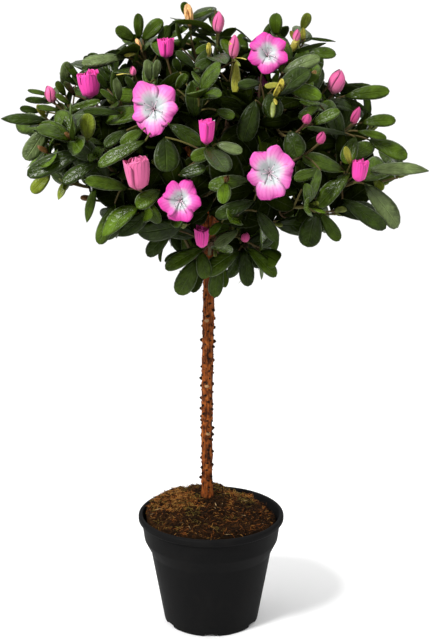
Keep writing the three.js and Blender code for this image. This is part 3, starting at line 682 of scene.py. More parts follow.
# Stem and boughs
# One straight woody stem, trained bare, in reddish brown bark that is ridged and flecked. Round
# leaf scars stand out all the way up, and tan discs show where side shoots were cut off. Ten
# short boughs leave it one above the other inside the crown.
STEM_LINE = [
    FOOT,
    Vector((-4.4, 18, 200)),
    Vector((-3.2, 13, 290)),
    Vector((-1.5, 6, 380)),
    Vector((0, 0, 472)),
]
STEM_RADIUS = 5.6
FLARE = {"radius": 1.2, "height": 6}
STEM_TIP_RADIUS = 2.6
HEAD_BOTTOM = 394
BARK_STEP = 1.1
SCAR = {
    "first": 8, "below_tip": 30, "step": 1.7, "step_vary": (0.5, 1.5), "stray": 0.8, "size": (0.7, 1.8),
    "share_in_head": 0.6, "raised": 0.1, "tilt": (-0.2, 0.5), "across": 1.25, "up": 0.8, "out": (0.8, 1.8),
}
PRUNED_AT = [196, 248, 318]
PRUNED = {"azimuth": 14, "turn": -16, "elevation": 12, "sunk": 0.3, "half": (2.5, 2.2, 0.9)}
HEART = Vector((0, 0, 449))
# How far the tips reach from the heart at each elevation, to the left and to the right
TIP_REACH = [
    (-90, 76, 76), (-60, 73, 75), (-40, 68, 74), (-25, 70, 78), (-12, 92, 106), (-6, 110, 136),
    (0, 128, 168), (8, 154, 184), (14, 170, 186), (22, 186, 178), (30, 171, 165), (42, 160, 149),
    (56, 156, 148), (70, 149, 142), (90, 144, 144),
]
DEPTH_SHARE = 0.96
RINGS = [
    {"name": "top", "count": 1, "elevation": 90, "azimuth": 0, "bough_from": None},
    {"name": "upper", "count": 4, "elevation": 50, "azimuth": -35, "bough_from": 441},
    {"name": "lower", "count": 6, "elevation": 13, "azimuth": 12, "bough_from": 398},
    {"name": "under", "count": 3, "elevation": -50, "azimuth": 0, "bough_from": None},
]
BOUGH = {
    "reach": 0.42, "start": 3.1, "end": 2.2, "stem_share": 0.86, "rise": 6.5, "arch": 6, "turn_at": 0.45,
}
LIMB_STEPS = 40
UNDER = {"drop": 7, "elevation": 4}


def stem_point(height):
    """The stem's middle at a height, on a smooth curve through its line."""
    spans = len(STEM_LINE) - 1
    i = max(k for k in range(spans) if k == 0 or STEM_LINE[k].z <= height)
    near = [STEM_LINE[min(max(k, 0), spans)] for k in (i - 1, i, i + 1, i + 2)]
    share = (height - near[1].z) / (near[2].z - near[1].z)
    before = (near[2] - near[0]) * ((near[2].z - near[1].z) / (near[2].z - near[0].z))
    after = (near[3] - near[1]) * ((near[2].z - near[1].z) / (near[3].z - near[1].z))
    smooth = share * share * (3 - 2 * share)
    point = near[1].lerp(near[2], smooth)
    point += before * (share * (1 - share) ** 2) - after * (share * share * (1 - share))
    return Vector((point.x, point.y, height))


def stem_radius(height):
    flare = FLARE["radius"] * math.exp(-(height - FOOT.z) / FLARE["height"])
    top = max(0, (height - HEAD_BOTTOM) / (STEM_LINE[-1].z - HEAD_BOTTOM))
    return mix(STEM_RADIUS, STEM_TIP_RADIUS, top) + flare


def tip_reach(way):
    """How far the shoots' tips stand from the crown's heart in a direction."""
    elevation = math.degrees(math.asin(max(-1, min(1, way.z))))
    after = next((i for i, row in enumerate(TIP_REACH) if row[0] >= elevation), 0)
    low, high = TIP_REACH[max(1, after) - 1], TIP_REACH[max(1, after)]
    share = (elevation - low[0]) / (high[0] - low[0])
    left, right = mix(low[1], high[1], share), mix(low[2], high[2], share)
    return mix(left, right, 0.5 + 0.5 * way.x) * mix(1, DEPTH_SHARE, way.y * way.y)


def tapered(line, start, end):
    """A limb along a line of points, its radius going evenly from start to end."""
    return [(point, mix(start, end, i / (len(line) - 1))) for i, point in enumerate(line)]


masses = []
for ring in RINGS:
    for place in range(ring["count"]):
        suffix = f"_{place + 1}" if ring["count"] > 1 else ""
        azimuth = ring["azimuth"] + 360 * place / ring["count"]
        masses.append({
            "node": f"foliage_{ring['name']}{suffix}", "bough_node": f"bough_{ring['name']}{suffix}",
            "ring": ring, "place": place, "azimuth": azimuth,
            "way": direction(azimuth, ring["elevation"]), "shoots": [],
        })

heights = np.arange(FOOT.z, STEM_LINE[-1].z + 0.1, BARK_STEP)
limbs = [[(stem_point(z), stem_radius(z)) for z in heights]]
for mass in masses:
    ring, way, place = mass["ring"], mass["way"], mass["place"]
    if ring["bough_from"]:
        # Every second bough of a ring leaves the stem first, and the rest leave it above them
        order = place / 2 if place % 2 == 0 else (place - 1 + ring["count"]) / 2
        start = stem_point(ring["bough_from"] + BOUGH["rise"] * order)
        end = HEART + way * (BOUGH["reach"] * tip_reach(way))
        turn = start.lerp(end, BOUGH["turn_at"]) + Vector((0, 0, BOUGH["arch"]))
        start_radius = min(BOUGH["start"], BOUGH["stem_share"] * stem_radius(start.z))
        limbs.append(tapered(bend(start, turn, end, LIMB_STEPS), start_radius, BOUGH["end"]))
        mass["start"], mass["start_way"] = end, (end - turn).normalized()
    elif ring["name"] == "top":
        mass["start"], mass["start_way"] = STEM_LINE[-1], Vector((0, 0, 1))
    else:
        mass["start"] = stem_point(HEAD_BOTTOM - UNDER["drop"] * (place + 1))
        mass["start_way"] = direction(mass["azimuth"], UNDER["elevation"])


def limb_tree(name, sides, sizes, relief, material):
    """A tree that turns lines of points into closed round limbs, by the radius at each point, and
    then moves their surface by a function of its place, if it is given one."""
    board, entry, size = new_tree(name, sizes)
    radius = read(board, "radius_here") * size["Thickness share"]
    line = board.node("GeometryNodeMeshToCurve", inputs={"Mesh": entry})
    section = board.node("GeometryNodeCurvePrimitiveCircle", inputs={"Resolution": sides, "Radius": 1})
    limb = board.node(
        "GeometryNodeCurveToMesh",
        inputs={"Curve": line, "Profile Curve": section, "Scale": radius, "Fill Caps": True},
    )
    if relief:
        height = relief(board, board.node("GeometryNodeInputPosition"), size)
        offset = board.node("GeometryNodeInputNormal") * height
        limb = board.node("GeometryNodeSetPosition", inputs={"Geometry": limb, "Offset": offset})
    return finished_tree(board, limb, [material])


def grown_limbs(name, tree, sizes, limbs):
    """One mesh of limbs. Each limb is a list of places with the radius there, in millimetres."""
    points, edges = [], []
    for limb in limbs:
        edges += [(len(points) + i, len(points) + i + 1) for i in range(len(limb) - 1)]
        points += [{"root": place * MM, "radius_here": radius * MM} for place, radius in limb]
    return grown(name, tree, sizes, points, edges)


def bark_relief(board, position, size):
    """Long shallow ridges with knobs between them."""
    stretched = position.maths("MULTIPLY", (1, 1, 0.3))
    ridges = board.node("ShaderNodeTexNoise", inputs={
        "Vector": stretched, "Scale": size["Ridges a metre"], "Detail": 3, "Roughness": 0.6})
    knobs = board.node("ShaderNodeTexNoise", inputs={
        "Vector": position, "Scale": size["Knobs a metre"], "Detail": 2})
    raised = knobs.within(0.52, 0.72) * size["Knob height"]
    return (ridges - 0.5) * size["Ridge depth"] + raised


def bark_looks(board):
    ridges = grain(board, 500, 4, stretch=(1, 1, 0.25))
    flecks = grain(board, 900, 2, stretch=(1, 1, 0.7), seed=4).within(0.62, 0.74)
    stains = grain(board, 160, 3, seed=9)
    colour = board.node("ShaderNodeValToRGB", {"stops": [
        (0.34, (0.009, 0.003, 0.001)), (0.45, (0.078, 0.018, 0.003)),
        (0.55, (0.230, 0.056, 0.008)), (0.72, (0.430, 0.140, 0.028)),
    ]}, {0: ridges * 0.6 + stains * 0.4})
    return {
        "Base Color": (flecks * 0.35).blend(colour, (0.40, 0.22, 0.12)),
        "Roughness": 0.72 + 0.15 * ridges,
        "Normal": bumps(board, ridges, 0.0015, 1),
        "Specular IOR Level": 0.12,
    }


bark = new_finish("azalea_bark", bark_looks)
limb_sizes = {"Thickness share": 1}
bark_sizes = {
    **limb_sizes, "Ridges a metre": 420, "Ridge depth": 0.0020, "Knobs a metre": 190, "Knob height": 0.0009,
}
bark_growth = limb_tree("bark_growth", 36, bark_sizes, bark_relief, bark)
stem = grown_limbs("stem_bark", bark_growth, bark_sizes, limbs[:1])
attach(stem, "root")
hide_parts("stem")
bough_sizes = {**bark_sizes, "Ridge depth": 0.0007, "Knob height": 0.0004}
bough_growth = limb_tree("bough_growth", 16, bough_sizes, bark_relief, bark)
boughs = grown_limbs("boughs", bough_growth, bough_sizes, limbs[1:])
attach(boughs, "root")
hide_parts(*[mass["bough_node"] for mass in masses if mass["ring"]["bough_from"]])


def bead_tree(name, detail, sizes, material):
    """A tree that sets a small rough bead on each point, turned and stretched as its point says."""
    board, entry, size = new_tree(name, sizes)
    ball = board.node("GeometryNodeMeshIcoSphere", inputs={"Radius": 1, "Subdivisions": detail})
    way = read(board, "along", "FLOAT_VECTOR")
    rotation = board.node("FunctionNodeAlignRotationToVector", {"axis": "Z"}, {"Vector": way})
    stretch = read(board, "half", "FLOAT_VECTOR")
    inputs = {"Points": entry, "Instance": ball, "Rotation": rotation, "Scale": stretch}
    copies = board.node("GeometryNodeInstanceOnPoints", inputs=inputs)
    loose = board.node("GeometryNodeRealizeInstances", inputs={"Geometry": copies})
    position = board.node("GeometryNodeInputPosition")
    inputs = {"Vector": position, "Scale": size["Lumps a metre"], "Detail": 1}
    lumps = board.node("ShaderNodeTexNoise", inputs=inputs)
    offset = board.node("GeometryNodeInputNormal") * ((lumps - 0.5) * size["Lump height"])
    rough = board.node("GeometryNodeSetPosition", inputs={"Geometry": loose, "Offset": offset})
    return finished_tree(board, rough, [material])


def bead(place, way, half):
    return {"root": place * MM, "along": way, "half": tuple(size * MM for size in half)}


draw = seeded(23)
scars = []
golden = math.pi * (3 - math.sqrt(5))
height = FOOT.z + SCAR["first"]
while height < STEM_LINE[-1].z - SCAR["below_tip"]:
    turn = golden * len(scars) + SCAR["stray"] * draw()
    out = Vector((math.cos(turn), math.sin(turn), 0))
    size = mix(*SCAR["size"], draw()) * (1 if height < HEAD_BOTTOM else SCAR["share_in_head"])
    place = stem_point(height) + out * (stem_radius(height) + SCAR["raised"])
    way = (out + Vector((0, 0, mix(*SCAR["tilt"], draw())))).normalized()
    half = (size * SCAR["across"], size * SCAR["up"], size * mix(*SCAR["out"], draw()))
    scars.append(bead(place, way, half))
    height += SCAR["step"] * mix(*SCAR["step_vary"], draw())
scar_finish = speckled_finish(
    "leaf_scar", (0.004, 0.002, 0.001), (0.030, 0.011, 0.004), 700, 3, span=(0.35, 0.65),
    relief=(0.0006, 0.7), sockets={"Roughness": 0.85, "Specular IOR Level": 0.1},
)
scar_sizes = {"Lump height": 0.0012, "Lumps a metre": 900}
scar_growth = bead_tree("scar_growth", 2, scar_sizes, scar_finish)
leaf_scars = grown("leaf_scars", scar_growth, scar_sizes, scars)
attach(leaf_scars, "root")

pruned = []
for i, height in enumerate(PRUNED_AT):
    way = direction(PRUNED["azimuth"] + PRUNED["turn"] * i, PRUNED["elevation"])
    place = stem_point(height) + way * (stem_radius(height) - PRUNED["sunk"])
    pruned.append(bead(place, way, PRUNED["half"]))
cut_finish = speckled_finish(
    "cut_wood", (0.20, 0.10, 0.040), (0.42, 0.24, 0.10), 600, 3, span=(0.3, 0.7),
    relief=(0.0004, 0.5), sockets={"Roughness": 0.8},
)
cut_sizes = {**scar_sizes, "Lump height": 0.0005}
cut_growth = bead_tree("cut_growth", 3, cut_sizes, cut_finish)
cuts = grown("pruning_scars", cut_growth, cut_sizes, pruned)
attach(cuts, "root")


# Twigs
# Every foliage mass has one stem that goes on from its bough, a thin twig from it to each shoot,
# and short sprigs between them. Young ends are olive green, and older wood is dark brown.
SPREAD = {"shoots": 210, "gap": 36, "stray": 0.5, "depth": (0.9, 1.02), "lowest": -64}
INNER = {"shoots": 26, "depth": 0.6}
SHOOT_LIFT = 0.25
STEM_OF_MASS = {"reach": 0.74, "sunk": 1.5, "bend": 0.4, "start": 2.3, "end": 1.3}
TWIG = {"from": (0.3, 0.97), "neck": 5, "bend": 0.5, "steps": 12, "start": 1.5, "end": 1.0}
# A twig's end swells where its leaves sit: places beside its tip, and the radius there
KNUCKLE = [(-2, 1.35), (0, 1.7), (1.5, 0.9)]
# What a shoot can carry: the room it needs beside other masses, where its middle is, how much it
# leans with its shoot, and its width and length away from the front
KINDS = {
    "open": {"room": 24, "middle": 0.45, "lean": 1, "size": (42, 20)},
    "cup": {"room": 14, "middle": 0.5, "lean": 0.15, "size": (17, 21)},
    "bud": {"room": 12, "middle": 0.5, "lean": 0.4, "size": (10, 17)},
    "sheath": {"room": 12, "middle": 0.5, "lean": 0.4, "size": (7, 14)},
    "leaf": {"room": 12, "middle": 0.5, "lean": 0.4, "size": (6, 10)},
}
SIZE_VARY = (0.85, 1.15)
# Shoots that face away from the eye carry flowers too, except on the crown's underside
AWAY = -0.3
UNDERSIDE = -0.2
SIDE_KINDS = [(0.6, "sheath"), (1, "leaf")]
BACK_KINDS = [(0.12, "open"), (0.22, "cup"), (0.36, "bud"), *SIDE_KINDS]
OTHER_PETALS = {
    "open": [(0.3, "pale"), (1, "pink")], "cup": [(0.8, "magenta"), (1, "salmon")],
    "bud": [(0.6, "rose"), (1, "magenta")], "sheath": [(1, None)], "leaf": [(1, None)],
}
OTHER_SCALES = [(0.5, "green"), (0.68, "yellow"), (0.88, "brown"), (1, "peach")]
# What stands out at the front: its kind, place beside the stem, width, length, petals and scales
FRONT_BLOOMS = [
    ("open", -55, 530, 43, 21, "pale", None), ("open", 54, 581, 37, 18, "pink", None),
    ("open", 57, 468, 40, 20, "pale", None), ("open", -30, 441, 34, 17, "pink", None),
    ("cup", -116, 552, 23, 24, "magenta", "brown"), ("cup", -71, 467, 24, 28, "salmon", "brown"),
    ("cup", -42, 586, 16, 18, "magenta", "brown"), ("cup", -4, 507, 14, 20, "magenta", "brown"),
    ("cup", -9, 405, 15, 20, "magenta", "brown"), ("cup", 144, 470, 16, 19, "magenta", "brown"),
    ("bud", 120, 555, 19, 24, "rose", "brown"), ("bud", 139, 523, 9, 16, "berry", "green"),
    ("bud", 106, 502, 9, 11, "berry", "green"), ("bud", 92, 520, 9, 9, "berry", "brown"),
    ("bud", -153, 543, 12, 16, "rose", "brown"), ("bud", 34, 405, 9, 10, "berry", "green"),
    ("bud", 22, 588, 11, 22, "rose", "yellow"), ("bud", 7, 610, 12, 20, "rose", "peach"),
    ("sheath", -20, 617, 11, 24, None, "peach"), ("sheath", -67, 591, 12, 15, None, "peach"),
    ("bud", -74, 565, 6, 8, "rose", "yellow"), ("sheath", -12, 547, 6, 11, None, "brown"),
    ("bud", 81, 598, 8, 12, "rose", "yellow"), ("sheath", 62, 550, 12, 20, None, "yellow"),
    ("sheath", -160, 520, 11, 18, None, "yellow"), ("sheath", -159, 494, 10, 15, None, "brown"),
    ("sheath", 76, 588, 11, 18, None, "yellow"),
]
# Front shoots seen below this height hang forward, by this much for each millimetre
HANGING = {"below": 430, "forward": 0.7}
# How much more a front flower faces the eye than it follows its shoot
FACING_EYE = 3.5
SIGHT = {"from": 0.8, "to": 1.15, "step": 0.002}


def seen_on_crown(across, up):
    """Where the line of sight through a place beside the stem first meets the tips' surface."""
    sight = Vector((across, 0, up)) - EYE
    nearest, least = None, math.inf
    share = SIGHT["from"]
    while share < SIGHT["to"]:
        point = EYE + sight * share
        out = point - HEART
        miss = out.length - tip_reach(out.normalized())
        if miss < least:
            nearest, least = point, miss
        if miss < 0:
            break
        share += SIGHT["step"]
    return nearest


def even_way(i, count, turn):
    """One of count directions at even heights on a sphere."""
    rise = 1 - 2 * (i + 0.5) / count
    flat = math.sqrt(1 - rise * rise)
    return Vector((math.cos(turn) * flat, math.sin(turn) * flat, rise))


for mass in masses:
    others = [other for other in masses if other is not mass]
    mass["borders"] = [(mass["way"] - other["way"]).normalized() for other in others]

shoots = []
for kind, across, up, width, length, petal_tint, scale_tint in FRONT_BLOOMS:
    seen = seen_on_crown(across, up)
    seen = seen + (EYE - seen).normalized() * (HANGING["forward"] * max(0, HANGING["below"] - up))
    shoots.append({
        "kind": kind, "tip": seen, "seen": seen, "front": True, "width": width, "length": length,
        "petal_tint": petal_tint, "scale_tint": scale_tint,
    })
eye_way = (EYE - HEART).normalized()
draw = seeded(3)
for i in range(SPREAD["shoots"]):
    way = even_way(i, SPREAD["shoots"], i * golden + SPREAD["stray"] * draw())
    depth, luck = mix(*SPREAD["depth"], draw()), draw()
    tip = HEART + way * (tip_reach(way) * depth)
    crowded = any((other["tip"] - tip).length < SPREAD["gap"] for other in shoots)
    if way.z < math.sin(math.radians(SPREAD["lowest"])) or crowded:
        continue
    at_back = way.dot(eye_way) <= AWAY and way.z > UNDERSIDE
    kind = pick(luck, BACK_KINDS if at_back else SIDE_KINDS)
    shoots.append({"kind": kind, "tip": tip, "front": False})
for i in range(INNER["shoots"]):
    way = even_way(i, INNER["shoots"], i * golden)
    if way.z >= UNDERSIDE:
        tip = HEART + way * (tip_reach(way) * INNER["depth"])
        shoots.append({"kind": "leaf", "tip": tip, "front": False})

for i, shoot in enumerate(shoots):
    kind = KINDS[shoot["kind"]]
    shoot["seed"] = 100 + i
    mass = max(masses, key=lambda other: other["way"].dot((shoot["tip"] - HEART).normalized()))
    mass["shoots"].append(shoot)
    if not shoot["front"]:
        draw = seeded(900 + i)
        varied = mix(*SIZE_VARY, draw())
        shoot["width"], shoot["length"] = (size * varied for size in kind["size"])
        shoot["petal_tint"] = pick(draw(), OTHER_PETALS[shoot["kind"]])
        shoot["scale_tint"] = pick(draw(), OTHER_SCALES)
        # Three rounds, as a step away from one border can lead across another
        for border in 3 * mass["borders"]:
            short = kind["room"] - border.dot(shoot["tip"] - HEART)
            if short > 0:
                shoot["tip"] = shoot["tip"] + border * short
    outward = (shoot["tip"] - HEART).normalized()
    shoot["way"] = (outward + Vector((0, 0, SHOOT_LIFT))).normalized()
    to_eye = (EYE - shoot["tip"]).normalized()
    facing = FACING_EYE if shoot["front"] and shoot["kind"] == "open" else 0
    upright = Vector((0, 0, 1 - kind["lean"]))
    shoot["bloom_way"] = (shoot["way"] * kind["lean"] + upright + to_eye * facing).normalized()
    to_middle = shoot["bloom_way"] * (kind["middle"] * shoot["length"])
    if shoot["front"]:
        shoot["tip"] = shoot["seen"] - to_middle
    shoot["middle"] = shoot["tip"] + to_middle

twigs = []
for mass in masses:
    start, onward = mass["start"], mass["start_way"]
    end = HEART + mass["way"] * (STEM_OF_MASS["reach"] * tip_reach(mass["way"]))
    control = start + onward * (STEM_OF_MASS["bend"] * (end - start).length)
    line = bend(start - onward * STEM_OF_MASS["sunk"], control, end, LIMB_STEPS)
    twigs.append(tapered(line, STEM_OF_MASS["start"], STEM_OF_MASS["end"]))
    mass["shoots"].sort(key=lambda shoot: (shoot["tip"] - start).length)
    for rank, shoot in enumerate(mass["shoots"]):
        share = mix(*TWIG["from"], rank / max(1, len(mass["shoots"]) - 1))
        root = line[round(LIMB_STEPS * share)]
        tip, way = shoot["tip"], shoot["way"]
        neck = tip - way * TWIG["neck"]
        control = neck - way * (TWIG["bend"] * (neck - root).length)
        shoot["path"] = bend(root, control, neck, TWIG["steps"])
        swelling = [(tip + way * place, radius) for place, radius in KNUCKLE]
        twigs.append(tapered(shoot["path"], TWIG["start"], TWIG["end"]) + swelling)


def twig_looks(board):
    tone = grain(board, 500, 3, stretch=(1, 1, 0.5))
    age = grain(board, 26, 2, seed=6).within(0.35, 0.65)
    old = tone.blend((0.028, 0.014, 0.008), (0.095, 0.048, 0.026))
    young = tone.blend((0.050, 0.044, 0.010), (0.120, 0.110, 0.026))
    return {
        "Base Color": age.blend(old, young), "Roughness": 0.7, "Specular IOR Level": 0.15,
        "Normal": bumps(board, tone, 0.0006, 0.6),
    }


# Leaves
# Leathery dark green leaves in whorls round each shoot, egg-shaped with the wide end out, glossy
# above with a sunken rib and a thin pale edge of fine hairs, paler below. The edge and the veins
# carry a painted highlight, each leaf darkens towards its root as painted shade, leaves deep in the
# crown are near black as painted shade, and the pale front leaves show a painted sheen. The
# youngest are yellow green.
LEAF_LENGTH = 49
LEAF_WIDTH = 0.49
LEAF_REACH = 38
LEAF_TURN = math.radians(144)
# The largest shift of the waves along a blade, in radians
PHASE = 6
WHORL = {
    "leaves": 7, "outer": 5, "stray": 0.28, "pitch_vary": 22, "inner_steeper": 26,
    "least_length": 0.78, "more_length": 0.4, "inner_length": 0.68, "arch": (0.1, 0.75),
    "fold": (0.05, 0.4), "width": (0.9, 1.12), "roll": (-0.35, 0.35), "out": 0.8, "below_tip": 2.4,
    "climb": 2.2, "pointed": 0.25,
}
WHORL_PITCH = {"open": 84, "level": 72, "upright": 54}
WHORL_SIZE = {"level": 1.14, "upright": 0.92}
WHORL_TINTS = [(0.42, "leaf_deep"), (0.88, "leaf_green"), (1, "leaf_bright")]
SPRIG = {
    "places": (4, 6, 9), "spread": (0.7, 1.3), "length": (16, 26), "gap": 17, "leaf_reach": 18,
    "room": 2, "bend": 8, "steps": 6, "radii": (1.0, 0.8), "leaves": 5, "size": 0.72, "pitch": 62,
}
SPRIG_TINTS = [(0.5, "leaf_deep"), (0.85, "leaf_green"), (1, "leaf_bright")]
# How much steeper and shorter a leaf is at each try, and how far it is turned
LEAF_TRIES = [
    (0, 1, 0), (8, 0.96, 16), (8, 0.96, -16), (20, 0.92, 0), (-10, 0.9, 24), (34, 0.84, 10),
    (46, 0.74, 0),
]
# Where along and across a leaf its room is tried
TRIED_ALONG = (0.4, 0.7, 0.97)
TRIED_ACROSS = (-0.4, 0.4)
LEAF_GAP = {"leaf": 7, "own_shoot": 14, "stem": 9}
# How far behind or before a front flower, leaf or opening a leaf can still hide it
HIDING = {"behind": 12, "before": 260}
# What stays clear round each of them, beside its own size, and more than that as the eye sees it
SPARE = {"open": 0, "cup": 3, "bud": 3}
VIEW_MARGIN = {"open": 11, "cup": 7, "bud": 7, "leaf": 7, "opening": 3}
FRONT_LEAF = {
    "behind": 12, "tip_forward": 10, "turned": (-0.4, 0.4), "raised": (0.1, 0.7), "longer": 1.03,
    "arch": (0.2, 0.5), "fold": (0.05, 0.4), "pointed": 0.45, "clear_at": (0.45, 0.8),
    "clear_share": 0.36, "clear_less": 5,
}
STALK = {"from": 9, "rise": 4, "steps": 8, "radius": 0.8}
# How wide the widest place of a leaf is, as a share of the width that its blade is given
OUTLINE_PEAK = {"round": 0.65, "sharp": 0.54}
# The crown's outline beside the stem
OUTLINE = [
    (-201, 521), (-172, 545), (-152, 552), (-133, 575), (-121, 582), (-84, 586), (-88, 603),
    (-68, 617), (-42, 605), (-31, 628), (-17, 619), (-10, 628), (9, 625), (16, 610), (43, 599),
    (60, 618), (95, 614), (92, 603), (114, 594), (105, 588), (118, 580), (108, 573), (110, 556),
    (127, 567), (131, 551), (159, 554), (169, 546), (142, 532), (176, 520), (149, 508), (190, 480),
    (210, 471), (168, 460), (187, 425), (170, 411), (120, 434), (125, 401), (111, 411), (96, 395),
    (82, 402), (79, 421), (60, 427), (73, 408), (66, 366), (29, 357), (23, 370), (11, 345),
    (-31, 346), (-31, 374), (-46, 375), (-63, 387), (-67, 408), (-111, 397), (-112, 439),
    (-122, 420), (-116, 453), (-140, 460), (-150, 445), (-156, 462), (-172, 449), (-183, 501),
]
# Tips beside the stem of the front leaves that end in a sharp point
SHARP_TIPS = [(210, 474), (-200, 521), (-123, 420), (117, 594), (-110, 411), (-149, 443), (-90, 406)]
# Where the leaves that stand out at the front start and end beside the stem, their widths and their tints,
# where pale is a painted sheen
FRONT_LEAVES = [
    (-156, 518, -200, 521, 11, "deep"), (-156, 514, -178, 480, 18, "pale"),
    (-120, 489, -179, 469, 19, "deep"), (-79, 452, -120, 462, 14, "green"),
    (-119, 498, -120, 522, 17, "olive"), (-62, 499, -110, 479, 14, "green"),
    (-44, 503, -42, 470, 24, "deep"), (-69, 437, -110, 411, 20, "bright"),
    (-93, 439, -110, 398, 15, "green"), (-58, 430, -90, 406, 15, "deep"),
    (-37, 413, -64, 388, 16, "deep"), (-6, 395, -45, 375, 16, "green"),
    (-13, 384, -31, 347, 21, "green"), (-112, 455, -123, 420, 9, "green"),
    (-155, 467, -174, 450, 14, "olive"), (-139, 461, -149, 443, 8, "olive"),
    (-79, 577, -122, 578, 14, "pale"), (-68, 593, -67, 616, 11, "green"),
    (-71, 593, -88, 604, 13, "green"), (-65, 593, -48, 611, 15, "green"),
    (-141, 550, -135, 571, 12, "pale"), (-23, 615, -25, 627, 9, "green"),
    (38, 461, -1, 458, 15, "green"), (10, 380, 1, 345, 17, "green"),
    (149, 470, 210, 474, 14, "pale"), (148, 458, 189, 419, 23, "pale"),
    (127, 443, 171, 413, 16, "deep"), (127, 541, 169, 547, 15, "green"),
    (144, 516, 176, 520, 13, "green"), (67, 563, 101, 579, 15, "pale"),
    (68, 552, 105, 542, 17, "bright"), (62, 597, 60, 616, 15, "green"),
    (87, 580, 117, 583, 14, "green"), (57, 545, 61, 522, 21, "deep"),
    (102, 430, 94, 396, 23, "deep"), (106, 429, 126, 402, 13, "green"),
    (35, 395, 65, 367, 15, "bright"), (33, 394, 36, 356, 16, "deep"),
    (130, 469, 92, 485, 16, "green"), (135, 468, 103, 438, 19, "green"),
    (151, 500, 189, 484, 17, "green"),
    (43, 538, 32, 499, 20, "deep"), (76, 509, 83, 484, 21, "deep"),
    (44, 431, 65, 402, 14, "deep"), (43, 441, 6, 426, 14, "deep"),
    (27, 412, 4, 398, 13, "pale"), (48, 554, 27, 552, 10, "deep"),
    (105, 533, 85, 523, 11, "green"), (97, 514, 121, 528, 12, "green"),
    (134, 504, 94, 513, 6, "deep"), (107, 470, 82, 465, 13, "green"),
    (139, 503, 130, 478, 16, "green"), (-80, 509, -102, 495, 11, "deep"),
    (-65, 509, -86, 496, 12, "green"), (-41, 515, -10, 497, 15, "deep"),
    (4, 490, -18, 482, 13, "green"), (-32, 465, -8, 474, 12, "deep"),
    (-49, 451, -72, 436, 16, "green"), (-107, 480, -144, 461, 15, "deep"),
    (-58, 554, -60, 573, 9, "pale"), (-87, 536, -89, 556, 9, "pale"),
    (-89, 534, -104, 547, 7, "green"), (-85, 525, -121, 528, 8, "deep"),
    (-33, 547, -24, 560, 10, "green"), (1, 586, -12, 569, 13, "deep"),
    (24, 575, 24, 545, 9, "young"), (70, 552, 53, 552, 7, "young"),
    (84, 588, 76, 601, 6, "young"), (87, 588, 88, 603, 6, "young"),
    (135, 475, 130, 491, 7, "young"), (-70, 581, -81, 580, 5, "young"),
    (86, 602, 92, 616, 11, "olive"), (158, 463, 166, 452, 9, "olive"),
    (-158, 520, -165, 532, 7, "young"), (4, 528, 21, 523, 10, "green"),
    (4, 496, 29, 490, 11, "pale"),
    (-124, 556, -137, 572, 9, "green"), (-128, 551, -141, 563, 7, "deep"),
    (-138, 541, -145, 554, 9, "green"), (-151, 541, -173, 548, 6, "green"),
    (-163, 526, -181, 530, 8, "deep"), (-142, 526, -108, 537, 8, "green"),
    (-43, 593, -22, 607, 7, "green"), (-78, 578, -126, 566, 5, "deep"),
    (-53, 556, -50, 573, 8, "pale"), (-29, 563, -34, 575, 8, "deep"),
    (3, 576, -15, 567, 12, "deep"), (2, 590, -13, 583, 9, "green"),
    (5, 621, -20, 615, 6, "green"), (-71, 545, -79, 558, 7, "deep"),
    (-98, 547, -107, 560, 7, "deep"),
    (28, 392, -6, 370, 20, "green"), (-11, 392, -4, 364, 16, "green"), (11, 420, -1, 409, 9, "bright"),
    (-150, 535, -176, 539, 8, "deep"), (-144, 527, -164, 533, 7, "green"),
    (-134, 533, -146, 543, 7, "green"), (-129, 541, -138, 554, 8, "deep"),
    (140, 508, 168, 503, 8, "green"), (-14, 567, -31, 582, 9, "deep"),
    (6, 597, -12, 603, 6, "deep"), (88, 595, 117, 594, 3.5, "deep"),
]
# Places beside the stem where the crown is open, how wide each opening is and how deep
HOLLOWS = [
    (-110, 506, 9, 12), (-96, 473, 9, 12), (-9, 584, 8, 12), (28, 538, 10, 12), (61, 510, 9, 12),
    (26, 481, 7, 12), (17, 507, 6, 12), (40, 430, 6, 12), (-100, 512, 6, 12), (0, 470, 7, 12),
    (76, 408, 6, 190), (-57, 387, 4, 190), (-106, 440, 6, 190), (70, 424, 7, 190),
    (121, 430, 6, 190), (-55, 410, 4, 190), (-41, 390, 4, 190), (109, 566, 4, 190), (65, 397, 5, 190),
]
LEAF_TINTS = {
    "leaf_deep": (0.020, 0.037, 0.0016),
    "leaf_green": (0.043, 0.076, 0.0028),
    "leaf_bright": (0.068, 0.122, 0.0042),
    "leaf_olive": (0.130, 0.165, 0.0120),
    "leaf_young": (0.340, 0.330, 0.0400),
    # leaf_pale is a grey green that stands in for the sheen of glossy front leaves: painted sheen
    "leaf_pale": (0.095, 0.130, 0.0420),
    # leaf_shaded is near black: painted shade for leaves deep inside the crown
    "leaf_shaded": (0.007, 0.011, 0.0006),
}
